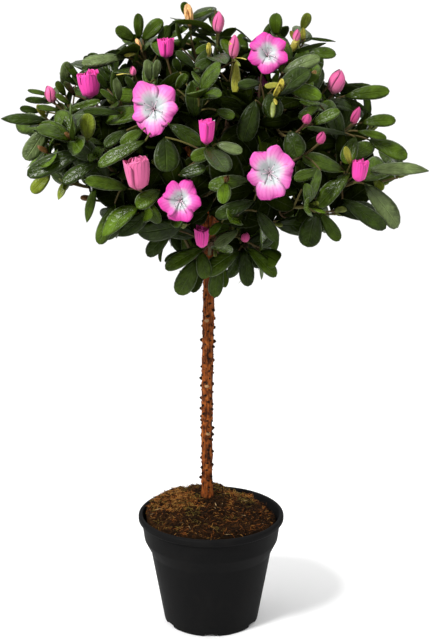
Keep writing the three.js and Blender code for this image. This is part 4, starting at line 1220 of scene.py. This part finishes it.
# Leaves whose middle lies this deep inside the tips' surface take the near-black painted shade tint
SHADED_DEPTH = 14
leaf_order = order_of(LEAF_TINTS)
blooms = [shoot for shoot in shoots if shoot["kind"] in ("open", "cup", "bud")]
kept_clear = []
for shoot in blooms:
    room = 0.5 * shoot["width"] + SPARE[shoot["kind"]]
    kept_clear.append((shoot["middle"], room, shoot["front"], VIEW_MARGIN[shoot["kind"]]))
for across, up, room, depth in HOLLOWS:
    seen = seen_on_crown(across, up)
    behind = seen + (seen - EYE).normalized() * depth
    kept_clear.append((behind, room, True, VIEW_MARGIN["opening"]))
leaves = []
for i, (across, up, tip_across, tip_up, width, tint) in enumerate(FRONT_LEAVES):
    draw = seeded(3100 + i)
    seen = seen_on_crown(across, up)
    root = seen + (seen - EYE).normalized() * FRONT_LEAF["behind"]
    sight = Vector((tip_across, 0, tip_up)) - EYE
    tip = EYE + sight * ((root.y - FRONT_LEAF["tip_forward"] - EYE.y) / sight.y)
    along, long = (tip - root).normalized(), (tip - root).length
    turned_by, raised_by = mix(*FRONT_LEAF["turned"], draw()), mix(*FRONT_LEAF["raised"], draw())
    facing = (EYE - root).normalized() + Vector((turned_by, 0, raised_by))
    face = (facing - along * facing.dot(along)).normalized()
    sharp = (tip_across, tip_up) in SHARP_TIPS
    width_scale = 1 / OUTLINE_PEAK["sharp" if sharp else "round"]
    arch, fold = mix(*FRONT_LEAF["arch"], draw()), mix(*FRONT_LEAF["fold"], draw())
    leaves.append(blade(
        root, along, face, long * FRONT_LEAF["longer"], width * width_scale, arch, fold, PHASE * draw(),
        leaf_order["leaf_" + tint], FRONT_LEAF["pointed"] if sharp else 0,
    ))
    room = FRONT_LEAF["clear_share"] * width - FRONT_LEAF["clear_less"]
    for share in FRONT_LEAF["clear_at"]:
        kept_clear.append((root.lerp(tip, share), room, True, VIEW_MARGIN["leaf"]))
    start = min((shoot["path"][STALK["from"]] for shoot in shoots), key=lambda place: (place - root).length)
    control = start.lerp(root, 0.5) + Vector((0, 0, STALK["rise"]))
    stalk = bend(start, control, root + along, STALK["steps"])
    twigs.append(tapered(stalk, STALK["radius"], STALK["radius"]))
clear_places, clear_rooms, clear_fronts, clear_margins = map(np.array, zip(*kept_clear))
crown = {"taken": np.empty((0, 3))}


def square_to(axis):
    """Two unit vectors square to an axis and to each other."""
    rough = Vector((0, 0, 1)) if abs(axis.z) < 0.9 else Vector((1, 0, 0))
    first = rough.cross(axis).normalized()
    return first, axis.cross(first)


def spoke(axis, turn):
    """A unit vector square to an axis, turned round it."""
    first, second = square_to(axis)
    return first * math.cos(turn) + second * math.sin(turn)


def stem_distance(point):
    near = stem_point(min(max(point.z, FOOT.z), STEM_LINE[-1].z))
    return (point - near).length


def leaf_room(samples, own_root):
    """How clear a leaf's middle is of blooms, of the view to what is in front, and of other leaves."""
    spots = np.array(samples)
    gaps = np.linalg.norm(spots[:, None] - clear_places[None], axis=2) - clear_rooms
    room = gaps.min()
    eye = np.array(EYE)
    sight = clear_places - eye
    far = np.linalg.norm(sight, axis=1)
    sight = sight / far[:, None]
    ahead = (spots - eye) @ sight.T
    beside = np.linalg.norm((spots - eye)[:, None] - ahead[..., None] * sight[None], axis=2)
    hiding = (ahead < far + HIDING["behind"]) & clear_fronts & (ahead > far - HIDING["before"])
    if hiding.any():
        room = min(room, (beside - clear_rooms - clear_margins)[hiding].min())
    if len(crown["taken"]):
        from_root = np.linalg.norm(crown["taken"] - np.array(own_root), axis=1)
        others = crown["taken"][from_root > LEAF_GAP["own_shoot"]]
        if len(others):
            nearest = np.linalg.norm(spots[:, None] - others[None], axis=2).min()
            room = min(room, nearest - LEAF_GAP["leaf"])
    return room


def in_outline(point):
    """Whether a place is within the leaves' reach and is seen inside the crown's outline."""
    out = point - HEART
    if out.length > tip_reach(out.normalized()) + LEAF_REACH:
        return False
    sight = point - EYE
    across, up = (EYE + sight * (-EYE.y / sight.y)).xz
    inside = False
    for (x0, z0), (x1, z1) in zip(OUTLINE, OUTLINE[1:] + OUTLINE[:1]):
        if (z0 > up) != (z1 > up) and across < x0 + (up - z0) * (x1 - x0) / (z1 - z0):
            inside = not inside
    return inside


def leaf_whorl(tip, way, seed, count, size, pitch, tint):
    """Leaves round a shoot's tip. A leaf that would cross a bloom or another leaf is tried
    steeper, shorter and turned, and is left out if nothing fits."""
    draw = seeded(seed)
    start = 2 * math.pi * draw()
    made = []
    for k in range(count):
        azimuth = start + k * LEAF_TURN * min(1, WHORL["outer"] / count) + WHORL["stray"] * (draw() - 0.5)
        inner = k >= WHORL["outer"]
        lean = pitch - (WHORL["inner_steeper"] if inner else 0) + WHORL["pitch_vary"] * (draw() - 0.5)
        length = size * (WHORL["least_length"] + WHORL["more_length"] * draw())
        length = length * (WHORL["inner_length"] if inner else 1)
        arch, fold, phase = mix(*WHORL["arch"], draw()), mix(*WHORL["fold"], draw()), PHASE * draw()
        width = length * LEAF_WIDTH * mix(*WHORL["width"], draw())
        roll = mix(*WHORL["roll"], draw())
        climb = WHORL["climb"] * k / count
        for steeper, shorter, turned_by in LEAF_TRIES:
            angle = math.radians(lean - steeper)
            out = spoke(way, azimuth + math.radians(turned_by))
            along = (way * math.cos(angle) + out * math.sin(angle)).normalized()
            face = (way - along * way.dot(along)).normalized()
            side = along.cross(face)
            face = (face * math.cos(roll) + side * math.sin(roll)).normalized()
            root = tip + out * WHORL["out"] - way * (WHORL["below_tip"] - climb)
            long = length * shorter
            places = [root + along * (long * s) - face * (0.5 * arch * long * s * s) for s in TRIED_ALONG]
            sides = [places[1] + side * (half * width) for half in TRIED_ACROSS]
            if not all(in_outline(place) for place in places + sides):
                continue
            if any(stem_distance(place) <= LEAF_GAP["stem"] for place in places + sides):
                continue
            if leaf_room(places, root) < 0:
                continue
            crown["taken"] = np.vstack([crown["taken"], np.array(places[:2])])
            # Leaves deep inside the crown take the painted shade tint
            middle = places[1] - HEART
            shaded = tip_reach(middle.normalized()) - middle.length > SHADED_DEPTH
            own_tint = leaf_order["leaf_shaded" if shaded else tint]
            wide = width * shorter / OUTLINE_PEAK["round"]
            pointed = WHORL["pointed"] * phase / PHASE
            made.append(blade(root, along, face, long, wide, arch, fold, phase, own_tint, pointed))
            break
    return made


for shoot in shoots:
    tint = pick(seeded(500 + shoot["seed"])(), WHORL_TINTS)
    upward = max(0, shoot["way"].z)
    pitch = mix(WHORL_PITCH["level"], WHORL_PITCH["upright"], upward)
    if shoot["kind"] == "open":
        pitch = WHORL_PITCH["open"]
    size = LEAF_LENGTH * mix(WHORL_SIZE["level"], WHORL_SIZE["upright"], upward)
    leaves += leaf_whorl(shoot["tip"], shoot["way"], shoot["seed"], WHORL["leaves"], size, pitch, tint)
tips = [shoot["tip"] for shoot in shoots]
sprigs = 0
for shoot in shoots:
    draw = seeded(700 + shoot["seed"])
    for place in SPRIG["places"]:
        root = shoot["path"][place]
        out = spoke(shoot["way"], 2 * math.pi * draw())
        way = (shoot["way"] + out * mix(*SPRIG["spread"], draw())).normalized()
        tip = root + way * mix(*SPRIG["length"], draw())
        near = min((tip - other).length for other in tips)
        if near < SPRIG["gap"] or not in_outline(tip + way * SPRIG["leaf_reach"]):
            continue
        if leaf_room([tip], tip) < SPRIG["room"]:
            continue
        tips.append(tip)
        sprigs += 1
        twigs.append(tapered(bend(root, root + way * SPRIG["bend"], tip, SPRIG["steps"]), *SPRIG["radii"]))
        tint = pick(draw(), SPRIG_TINTS)
        size = SPRIG["size"] * LEAF_LENGTH
        leaves += leaf_whorl(tip, way, 300 + sprigs, SPRIG["leaves"], size, SPRIG["pitch"], tint)


def blade_place(board):
    """A place on a blade, as X along it, Y across it and Z as 1 on its underside."""
    spot = board.node("ShaderNodeAttribute", {"attribute_name": "blade"}, output="Vector")
    return board.node("ShaderNodeSeparateXYZ", inputs={0: spot})


def leaf_finish(name, colour):
    """A leaf's upper side shows its rib and side veins, paler in their own colour with a painted highlight on
    the veins, and a pale hairy edge that carries a painted highlight. It darkens towards its root as painted
    shade, and its lower side is dull.
    """
    pale = tuple(channel * 2.4 + 0.020 for channel in colour)
    # The pale edge is partly the colour of its fine hairs and partly a painted highlight where they catch the
    # light, dimmed on the darkest tints
    hair_edge_and_glint = toned((0.46, 0.52, 0.37), min(1, 16 * colour[1]))
    # Painted shade: the dark colour a leaf falls to towards its root, where the whorl shades it
    deep = toned(colour, 0.3)
    below = tuple(channel * 0.9 + more for channel, more in zip(colour, (0.008, 0.013, 0.001)))

    def looks(board):
        spot = blade_place(board)
        across, under = abs(spot.beside("Y")), spot.beside("Z")
        rib = 1 - across.within(0.02, 0.09)
        veins = ((spot - across * 0.22) * 58).maths("SINE").within(0.6, 1) * across.within(0.05, 0.2)
        edge = across.within(0.88, 0.98) * spot.within(0.05, 0.3)
        mottle = grain(board, 130, 3).within(0.35, 0.7)
        cells = grain(board, 1500, 1)
        top = mottle.blend(toned(colour, 0.6), toned(colour, 1.35))
        # The rib and side veins are paler in their own colour, and the veins' paleness is also a painted
        # highlight on their relief
        top = (rib * 0.35 + veins * 0.14).blend(top, pale)
        # Painted shade: the colour darkens towards the leaf's root
        top = spot.within(-0.1, 0.5).blend(deep, top)
        top = (edge * 0.55).blend(top, hair_edge_and_glint)
        waves = grain(board, 300, 2, seed=5)
        relief = cells * 0.2 + waves * 1.1 - rib * 1.2 - veins * 0.4
        return {
            "Base Color": under.within(0.4, 0.6).blend(top, below),
            "Roughness": 0.13 + 0.18 * mottle + 0.4 * under,
            "Normal": bumps(board, relief, 0.0008, 0.8),
            "Specular IOR Level": 0 if name == "leaf_shaded" else 0.16,
        }

    return new_finish(name, looks)


leaf_sizes = {"Thickness": 0.0006, "Root taper": 0.62, "Tip bluntness": 2.4, "Wave": 0.012, "Crown": 0.12}
leaf_finishes = [leaf_finish(name, colour) for name, colour in LEAF_TINTS.items()]
leaf_growth = blade_tree("leaf_growth", 8, 4, leaf_sizes, leaf_surface, leaf_finishes)
foliage = grown("leaves", leaf_growth, leaf_sizes, leaves)
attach(foliage, "root")
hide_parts(*[mass["node"] for mass in masses])

# The twigs grow last, as the leaves' stalks and the sprigs have joined them
twig_growth = limb_tree("twig_growth", 7, limb_sizes, None, new_finish("twig_bark", twig_looks))
twig_piece = grown_limbs("twigs", twig_growth, limb_sizes, twigs)
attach(twig_piece, "root")
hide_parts(*[mass["node"] for mass in masses])


# Flowers and flower buds
# Open flowers are funnels of five ruffled petals that overlap at their edges, magenta pink with a
# pale eye. Cups are flowers about to open, their petals still wrapped, and buds are closed tips.
# The rim's, the middle's and the eye's colour, how far up the eye ends, and how streaked they are
PETAL_TINTS = {
    "petal_pink": ((0.60, 0.040, 0.31), (0.62, 0.15, 0.43), (0.52, 0.56, 0.56), 0.26, 0),
    "petal_pale": ((0.62, 0.080, 0.37), (0.64, 0.24, 0.48), (0.46, 0.50, 0.50), 0.30, 0),
    "petal_magenta": ((0.78, 0.052, 0.36), (0.72, 0.044, 0.31), (0.42, 0.03, 0.16), -0.2, 1),
    "petal_salmon": ((0.62, 0.12, 0.28), (0.55, 0.10, 0.22), (0.34, 0.05, 0.07), -0.2, 0.7),
    "petal_rose": ((0.66, 0.11, 0.29), (0.66, 0.18, 0.32), (0.45, 0.16, 0.10), -0.1, 0.7),
    "petal_berry": ((0.46, 0.050, 0.19), (0.42, 0.050, 0.14), (0.22, 0.06, 0.04), -0.1, 0.7),
}
# A front flower's first petal points down, in half turns, and upright petals are a little longer
FIRST_PETAL = (-0.56, -0.44)
UPRIGHT_PETAL = {"longer": 0.14, "less": 0.04}
PETAL_VARY = {"spread": (0.95, 1.05), "lengths": (0.93, 1.07)}
# The radius and height of a cup's three rings of petals, as shares of its size, and their closing
CUP_RINGS = [(0.5, 0.96, 0.1), (0.43, 1, 0.3), (0.32, 1.02, 0.85)]


def petal_surface(board, size, along, across):
    """A petal of a ring round an axis. It leaves the axis at the neck, bells out to the rim, and
    closes again at the tip where it is told to."""
    def own(label):
        return read(board, label)

    axis, out = read(board, "along", "FLOAT_VECTOR"), read(board, "face", "FLOAT_VECTOR")
    side = axis.maths("CROSS_PRODUCT", out)
    share = 1 - (1 - along) ** 1.5
    edge = (1 - share ** own("edge_power")) ** 0.5
    phase = own("phase")
    beside = across * edge
    ruffle = ((beside * 5 + phase).maths("SINE") + (beside * 12 + phase * 2).maths("SINE") * 0.35)
    ruffle = ruffle * share * share * own("ruffle")
    angle = beside * own("half_angle") + share * own("twist")
    bell = share ** own("bell")
    neck, rim = own("neck"), own("rim")
    radius = (neck + (rim - neck) * bell) * (1 - own("closing") * share ** 3)
    radius = radius + beside * share * own("overlap") + ruffle * own("side_ruffle")
    radius = radius + (beside * 15 + phase).maths("SINE") * share * own("folds")
    height = own("height") * (1 - (1 - share) ** own("rise_power")) + ruffle
    height = height + beside * (share + 0.2) * own("lap") - share ** 3 * own("recurve")
    turned_out = out * angle.maths("COSINE") + side * angle.maths("SINE")
    return read(board, "root", "FLOAT_VECTOR") + axis * height + turned_out * radius


def petals(shoot, count, draw, **shape):
    """A ring of petals on a shoot. Lengths are millimetres and angles are degrees."""
    axis = shoot["bloom_way"]
    start = 2 * math.pi * draw()
    if shoot["kind"] == "open" and shoot["front"]:
        start = mix(*FIRST_PETAL, draw()) * math.pi
    uneven = shape.get("uneven", 0.05)
    ring = []
    for k in range(count):
        turn = start + 2 * math.pi * k / count
        upright = 0
        if shoot["kind"] == "open":
            upright = UPRIGHT_PETAL["longer"] * math.sin(turn) ** 2 - UPRIGHT_PETAL["less"]
        petal = {
            "root": (shoot["tip"] - axis * 0.5) * MM, "along": axis, "face": spoke(axis, turn),
            "half_angle": math.radians(shape["spread"]) * mix(*PETAL_VARY["spread"], draw()),
            "twist": math.radians(shape.get("twist", 0)), "phase": PHASE * draw(),
        }
        for label in ("tint", "bell", "rise_power", "edge_power", "closing", "side_ruffle"):
            petal[label] = shape.get(label, 0)
        for label in ("neck", "height", "ruffle", "overlap", "lap", "recurve", "folds"):
            petal[label] = shape.get(label, 0) * MM * mix(*PETAL_VARY["lengths"], draw())
        petal["rim"] = shape["rim"] * MM * (mix(1 - uneven, 1 + uneven, draw()) + upright)
        ring.append(petal)
    return ring


def petal_finish(name, rim, middle, eye, eye_edge, streaks):
    """A petal is pale to its eye edge, and dark streaks run up it, strongest where it is wrapped."""
    dark = tuple(channel * 0.72 * (1 - 0.5 * streaks) for channel in rim)

    def looks(board):
        spot = blade_place(board)
        cloud = grain(board, 220, 2)
        veins = (spot.beside("Y") * 26 + cloud * 3).maths("SINE").within(0.3, 1)
        reach = spot + (cloud - 0.5) * 0.22
        colour = reach.within(eye_edge, eye_edge + 0.22).blend(eye, middle)
        colour = reach.within(eye_edge + 0.12, eye_edge + 0.5).blend(colour, rim)
        colour = (veins * spot.within(0.25, 0.6) * (0.35 + 0.4 * streaks)).blend(colour, dark)
        return {
            "Base Color": colour, "Roughness": 0.55 + 0.1 * cloud,
            "Normal": bumps(board, veins * 0.6 + cloud, 0.0004, 0.4),
            "Specular IOR Level": 0.2, "Sheen Weight": 0.1,
        }

    return new_finish(name, looks)


petal_order = order_of(PETAL_TINTS)
all_petals = []
for shoot in blooms:
    draw = seeded(1300 + shoot["seed"])
    width, length = shoot["width"], shoot["length"]
    tint = petal_order["petal_" + shoot["petal_tint"]]
    if shoot["kind"] == "open":
        all_petals += petals(
            shoot, 5, draw, spread=51, neck=0.8, rim=0.5 * width, height=0.7 * length, bell=1.1,
            rise_power=2.4, ruffle=0.055 * width, overlap=0.25, lap=0.6, recurve=0.075 * width, tint=tint,
            edge_power=6, twist=6, side_ruffle=0.8, uneven=0.1,
        )
    elif shoot["kind"] == "cup":
        for share, high, closing in CUP_RINGS:
            all_petals += petals(
                shoot, 3, draw, spread=76, neck=1.6, rim=share * width, height=high * length,
                bell=0.25, rise_power=1.15, ruffle=0.9, overlap=0.03 * width, tint=tint,
                edge_power=12, twist=5, side_ruffle=0.6, closing=closing, folds=0.022 * width,
            )
    else:
        all_petals += petals(
            shoot, 5, draw, spread=58, neck=1.6, rim=0.62 * width, height=length, bell=0.45,
            rise_power=1, overlap=0.5, tint=tint, edge_power=20, twist=50, closing=0.96,
        )
petal_sizes = {"Thickness": 0.0003}
petal_finishes = [petal_finish(name, *tints) for name, tints in PETAL_TINTS.items()]
petal_growth = blade_tree("petal_growth", 10, 8, petal_sizes, petal_surface, petal_finishes)
corollas = grown("petals", petal_growth, petal_sizes, all_petals)
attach(corollas, "root")
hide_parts(*[mass["node"] for mass in masses])


# Stamens
# Each open flower has a spray of fine pink threads that rise from its throat and end in dark
# pollen sacs, with one longer thread in the middle.
STAMENS = {"count": 8, "stray": 0.6, "steps": 6, "from": (4, 0.8), "bend": (0.6, 0.3), "droop": 1.5}
# How far out and up a thread ends, as shares of the flower's radius and length, and its radius
THREAD = {"out": (0.2, 0.42), "up": (0.7, 0.95), "radius": 0.26}
MIDDLE_THREAD = {"out": 0.15, "up": 1.15, "radius": 0.34}
SAC_HALF = (0.45, 0.45, 0.75)

threads, sacs = [], []
for shoot in blooms:
    if shoot["kind"] != "open":
        continue
    draw = seeded(1700 + shoot["seed"])
    throat, axis = shoot["tip"], shoot["bloom_way"]
    for k in range(STAMENS["count"]):
        out = spoke(axis, 2 * math.pi * (k + STAMENS["stray"] * draw()) / STAMENS["count"])
        middle = k == 0
        reach = 0.5 * shoot["width"] * (MIDDLE_THREAD["out"] if middle else mix(*THREAD["out"], draw()))
        rise = shoot["length"] * (MIDDLE_THREAD["up"] if middle else mix(*THREAD["up"], draw()))
        radius = MIDDLE_THREAD["radius"] if middle else THREAD["radius"]
        tip = throat + axis * rise + out * reach - Vector((0, 0, STAMENS["droop"]))
        start = throat + axis * STAMENS["from"][0] + out * STAMENS["from"][1]
        control = throat + axis * (STAMENS["bend"][0] * rise) + out * (STAMENS["bend"][1] * reach)
        path = bend(start, control, tip, STAMENS["steps"])
        threads.append(tapered(path, radius, radius))
        sacs.append(bead(tip, (tip - path[-2]).normalized(), SAC_HALF))
thread_finish = speckled_finish(
    "stamen_thread", (0.80, 0.50, 0.64), (0.90, 0.80, 0.84), 300, 1, sockets={"Roughness": 0.5})
thread_growth = limb_tree("thread_growth", 5, limb_sizes, None, thread_finish)
stamens = grown_limbs("stamens", thread_growth, limb_sizes, threads)
sac_finish = speckled_finish(
    "pollen_sac", (0.040, 0.020, 0.035), (0.16, 0.10, 0.12), 800, 1, sockets={"Roughness": 0.8})
sac_sizes = {**scar_sizes, "Lump height": 0.0002}
sac_growth = bead_tree("sac_growth", 1, sac_sizes, sac_finish)
anthers = grown("anthers", sac_growth, sac_sizes, sacs)
for piece in (stamens, anthers):
    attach(piece, "root")


# Bud scales and young leaves
# Small pointed scales wrap the foot of every bud, and a shoot without one ends in a scaly tip.
# They are yellow green to reddish brown, and a few narrow young leaves stand among them.
SCALE_TINTS = {
    "scale_green": (0.190, 0.230, 0.030),
    "scale_yellow": (0.520, 0.440, 0.060),
    "scale_brown": (0.200, 0.090, 0.022),
    "scale_peach": (0.780, 0.440, 0.170),
}
# The scales on a shoot, how far they lean out, and their length as a share of what they wrap
BUD_SCALES = {"count": 6, "lean": (0.1, 0.5), "length": 0.5, "yellow_length": 0.75}
CUP_SCALES = {"lean": (0.5, 0.8), "length": 0.34}
TIP_SCALES = {"count": 7, "lean": (0.0, 0.28), "length": 1.0, "each_shorter": 0.08}
SCALE = {"stray": 0.5, "vary": (0.8, 1.1), "out": 0.9, "sunk": 0.5, "width": 0.62, "arch": -0.35, "fold": 0.5}
YOUNG_LEAF = {
    "count": 2, "azimuth": (-70, 70), "elevation": (-80, 10), "lift": 0.4, "length": (14, 24),
    "width": 0.42, "arch": 0.5, "fold": 0.3,
}
YOUNG_TINTS = [(0.5, "scale_yellow"), (1, "scale_green")]
scale_order = order_of(SCALE_TINTS)
scales = []
for shoot in shoots:
    draw = seeded(2100 + shoot["seed"])
    kind = shoot["kind"]
    if kind == "open":
        continue
    budded = kind in ("cup", "bud")
    way = shoot["bloom_way"] if budded else shoot["way"]
    group = BUD_SCALES if budded else TIP_SCALES
    tint = scale_order[f"scale_{shoot['scale_tint']}"]
    for k in range(group["count"]):
        out = spoke(way, LEAF_TURN * k + SCALE["stray"] * draw())
        lean = mix(*group["lean"], draw())
        if kind == "cup":
            lean = mix(*CUP_SCALES["lean"], draw())
        along = (way + out * lean).normalized()
        face = (out - along * out.dot(along)).normalized() * -1
        share = group["length"]
        if not budded:
            share = share - TIP_SCALES["each_shorter"] * k
        elif shoot["scale_tint"] == "yellow":
            share = BUD_SCALES["yellow_length"]
        size = share * shoot["length"] * mix(*SCALE["vary"], draw())
        if kind == "cup":
            size = CUP_SCALES["length"] * shoot["length"]
        root = shoot["tip"] + out * SCALE["out"] - way * SCALE["sunk"]
        shape = (size, size * SCALE["width"], SCALE["arch"], SCALE["fold"], PHASE * draw())
        scales.append(blade(root, along, face, *shape, tint))
for shoot in shoots:
    if not shoot["front"] or shoot["scale_tint"] != "yellow":
        continue
    draw = seeded(2600 + shoot["seed"])
    for leaf in range(YOUNG_LEAF["count"]):
        way = direction(mix(*YOUNG_LEAF["azimuth"], draw()), mix(*YOUNG_LEAF["elevation"], draw()))
        along = (way + YOUNG_LEAF["lift"] * shoot["way"]).normalized()
        face = square_to(along)[1]
        size = mix(*YOUNG_LEAF["length"], draw())
        width, phase = size * YOUNG_LEAF["width"], PHASE * draw()
        shape = (size, width, YOUNG_LEAF["arch"], YOUNG_LEAF["fold"], phase)
        scales.append(blade(shoot["tip"], along, face, *shape, scale_order[pick(draw(), YOUNG_TINTS)]))
scale_sizes = {"Thickness": 0.0003, "Root taper": 0.5, "Tip bluntness": 2, "Wave": 0.01, "Crown": 0.5}
scale_finishes = [
    speckled_finish(name, toned(colour, 0.55), colour, 350, span=(0.35, 0.65), sockets={"Roughness": 0.5})
    for name, colour in SCALE_TINTS.items()
]
scale_growth = blade_tree("scale_growth", 5, 4, scale_sizes, leaf_surface, scale_finishes)
bud_scales = grown("bud_scales", scale_growth, scale_sizes, scales)
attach(bud_scales, "root")
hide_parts(*[mass["node"] for mass in masses])


low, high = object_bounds()
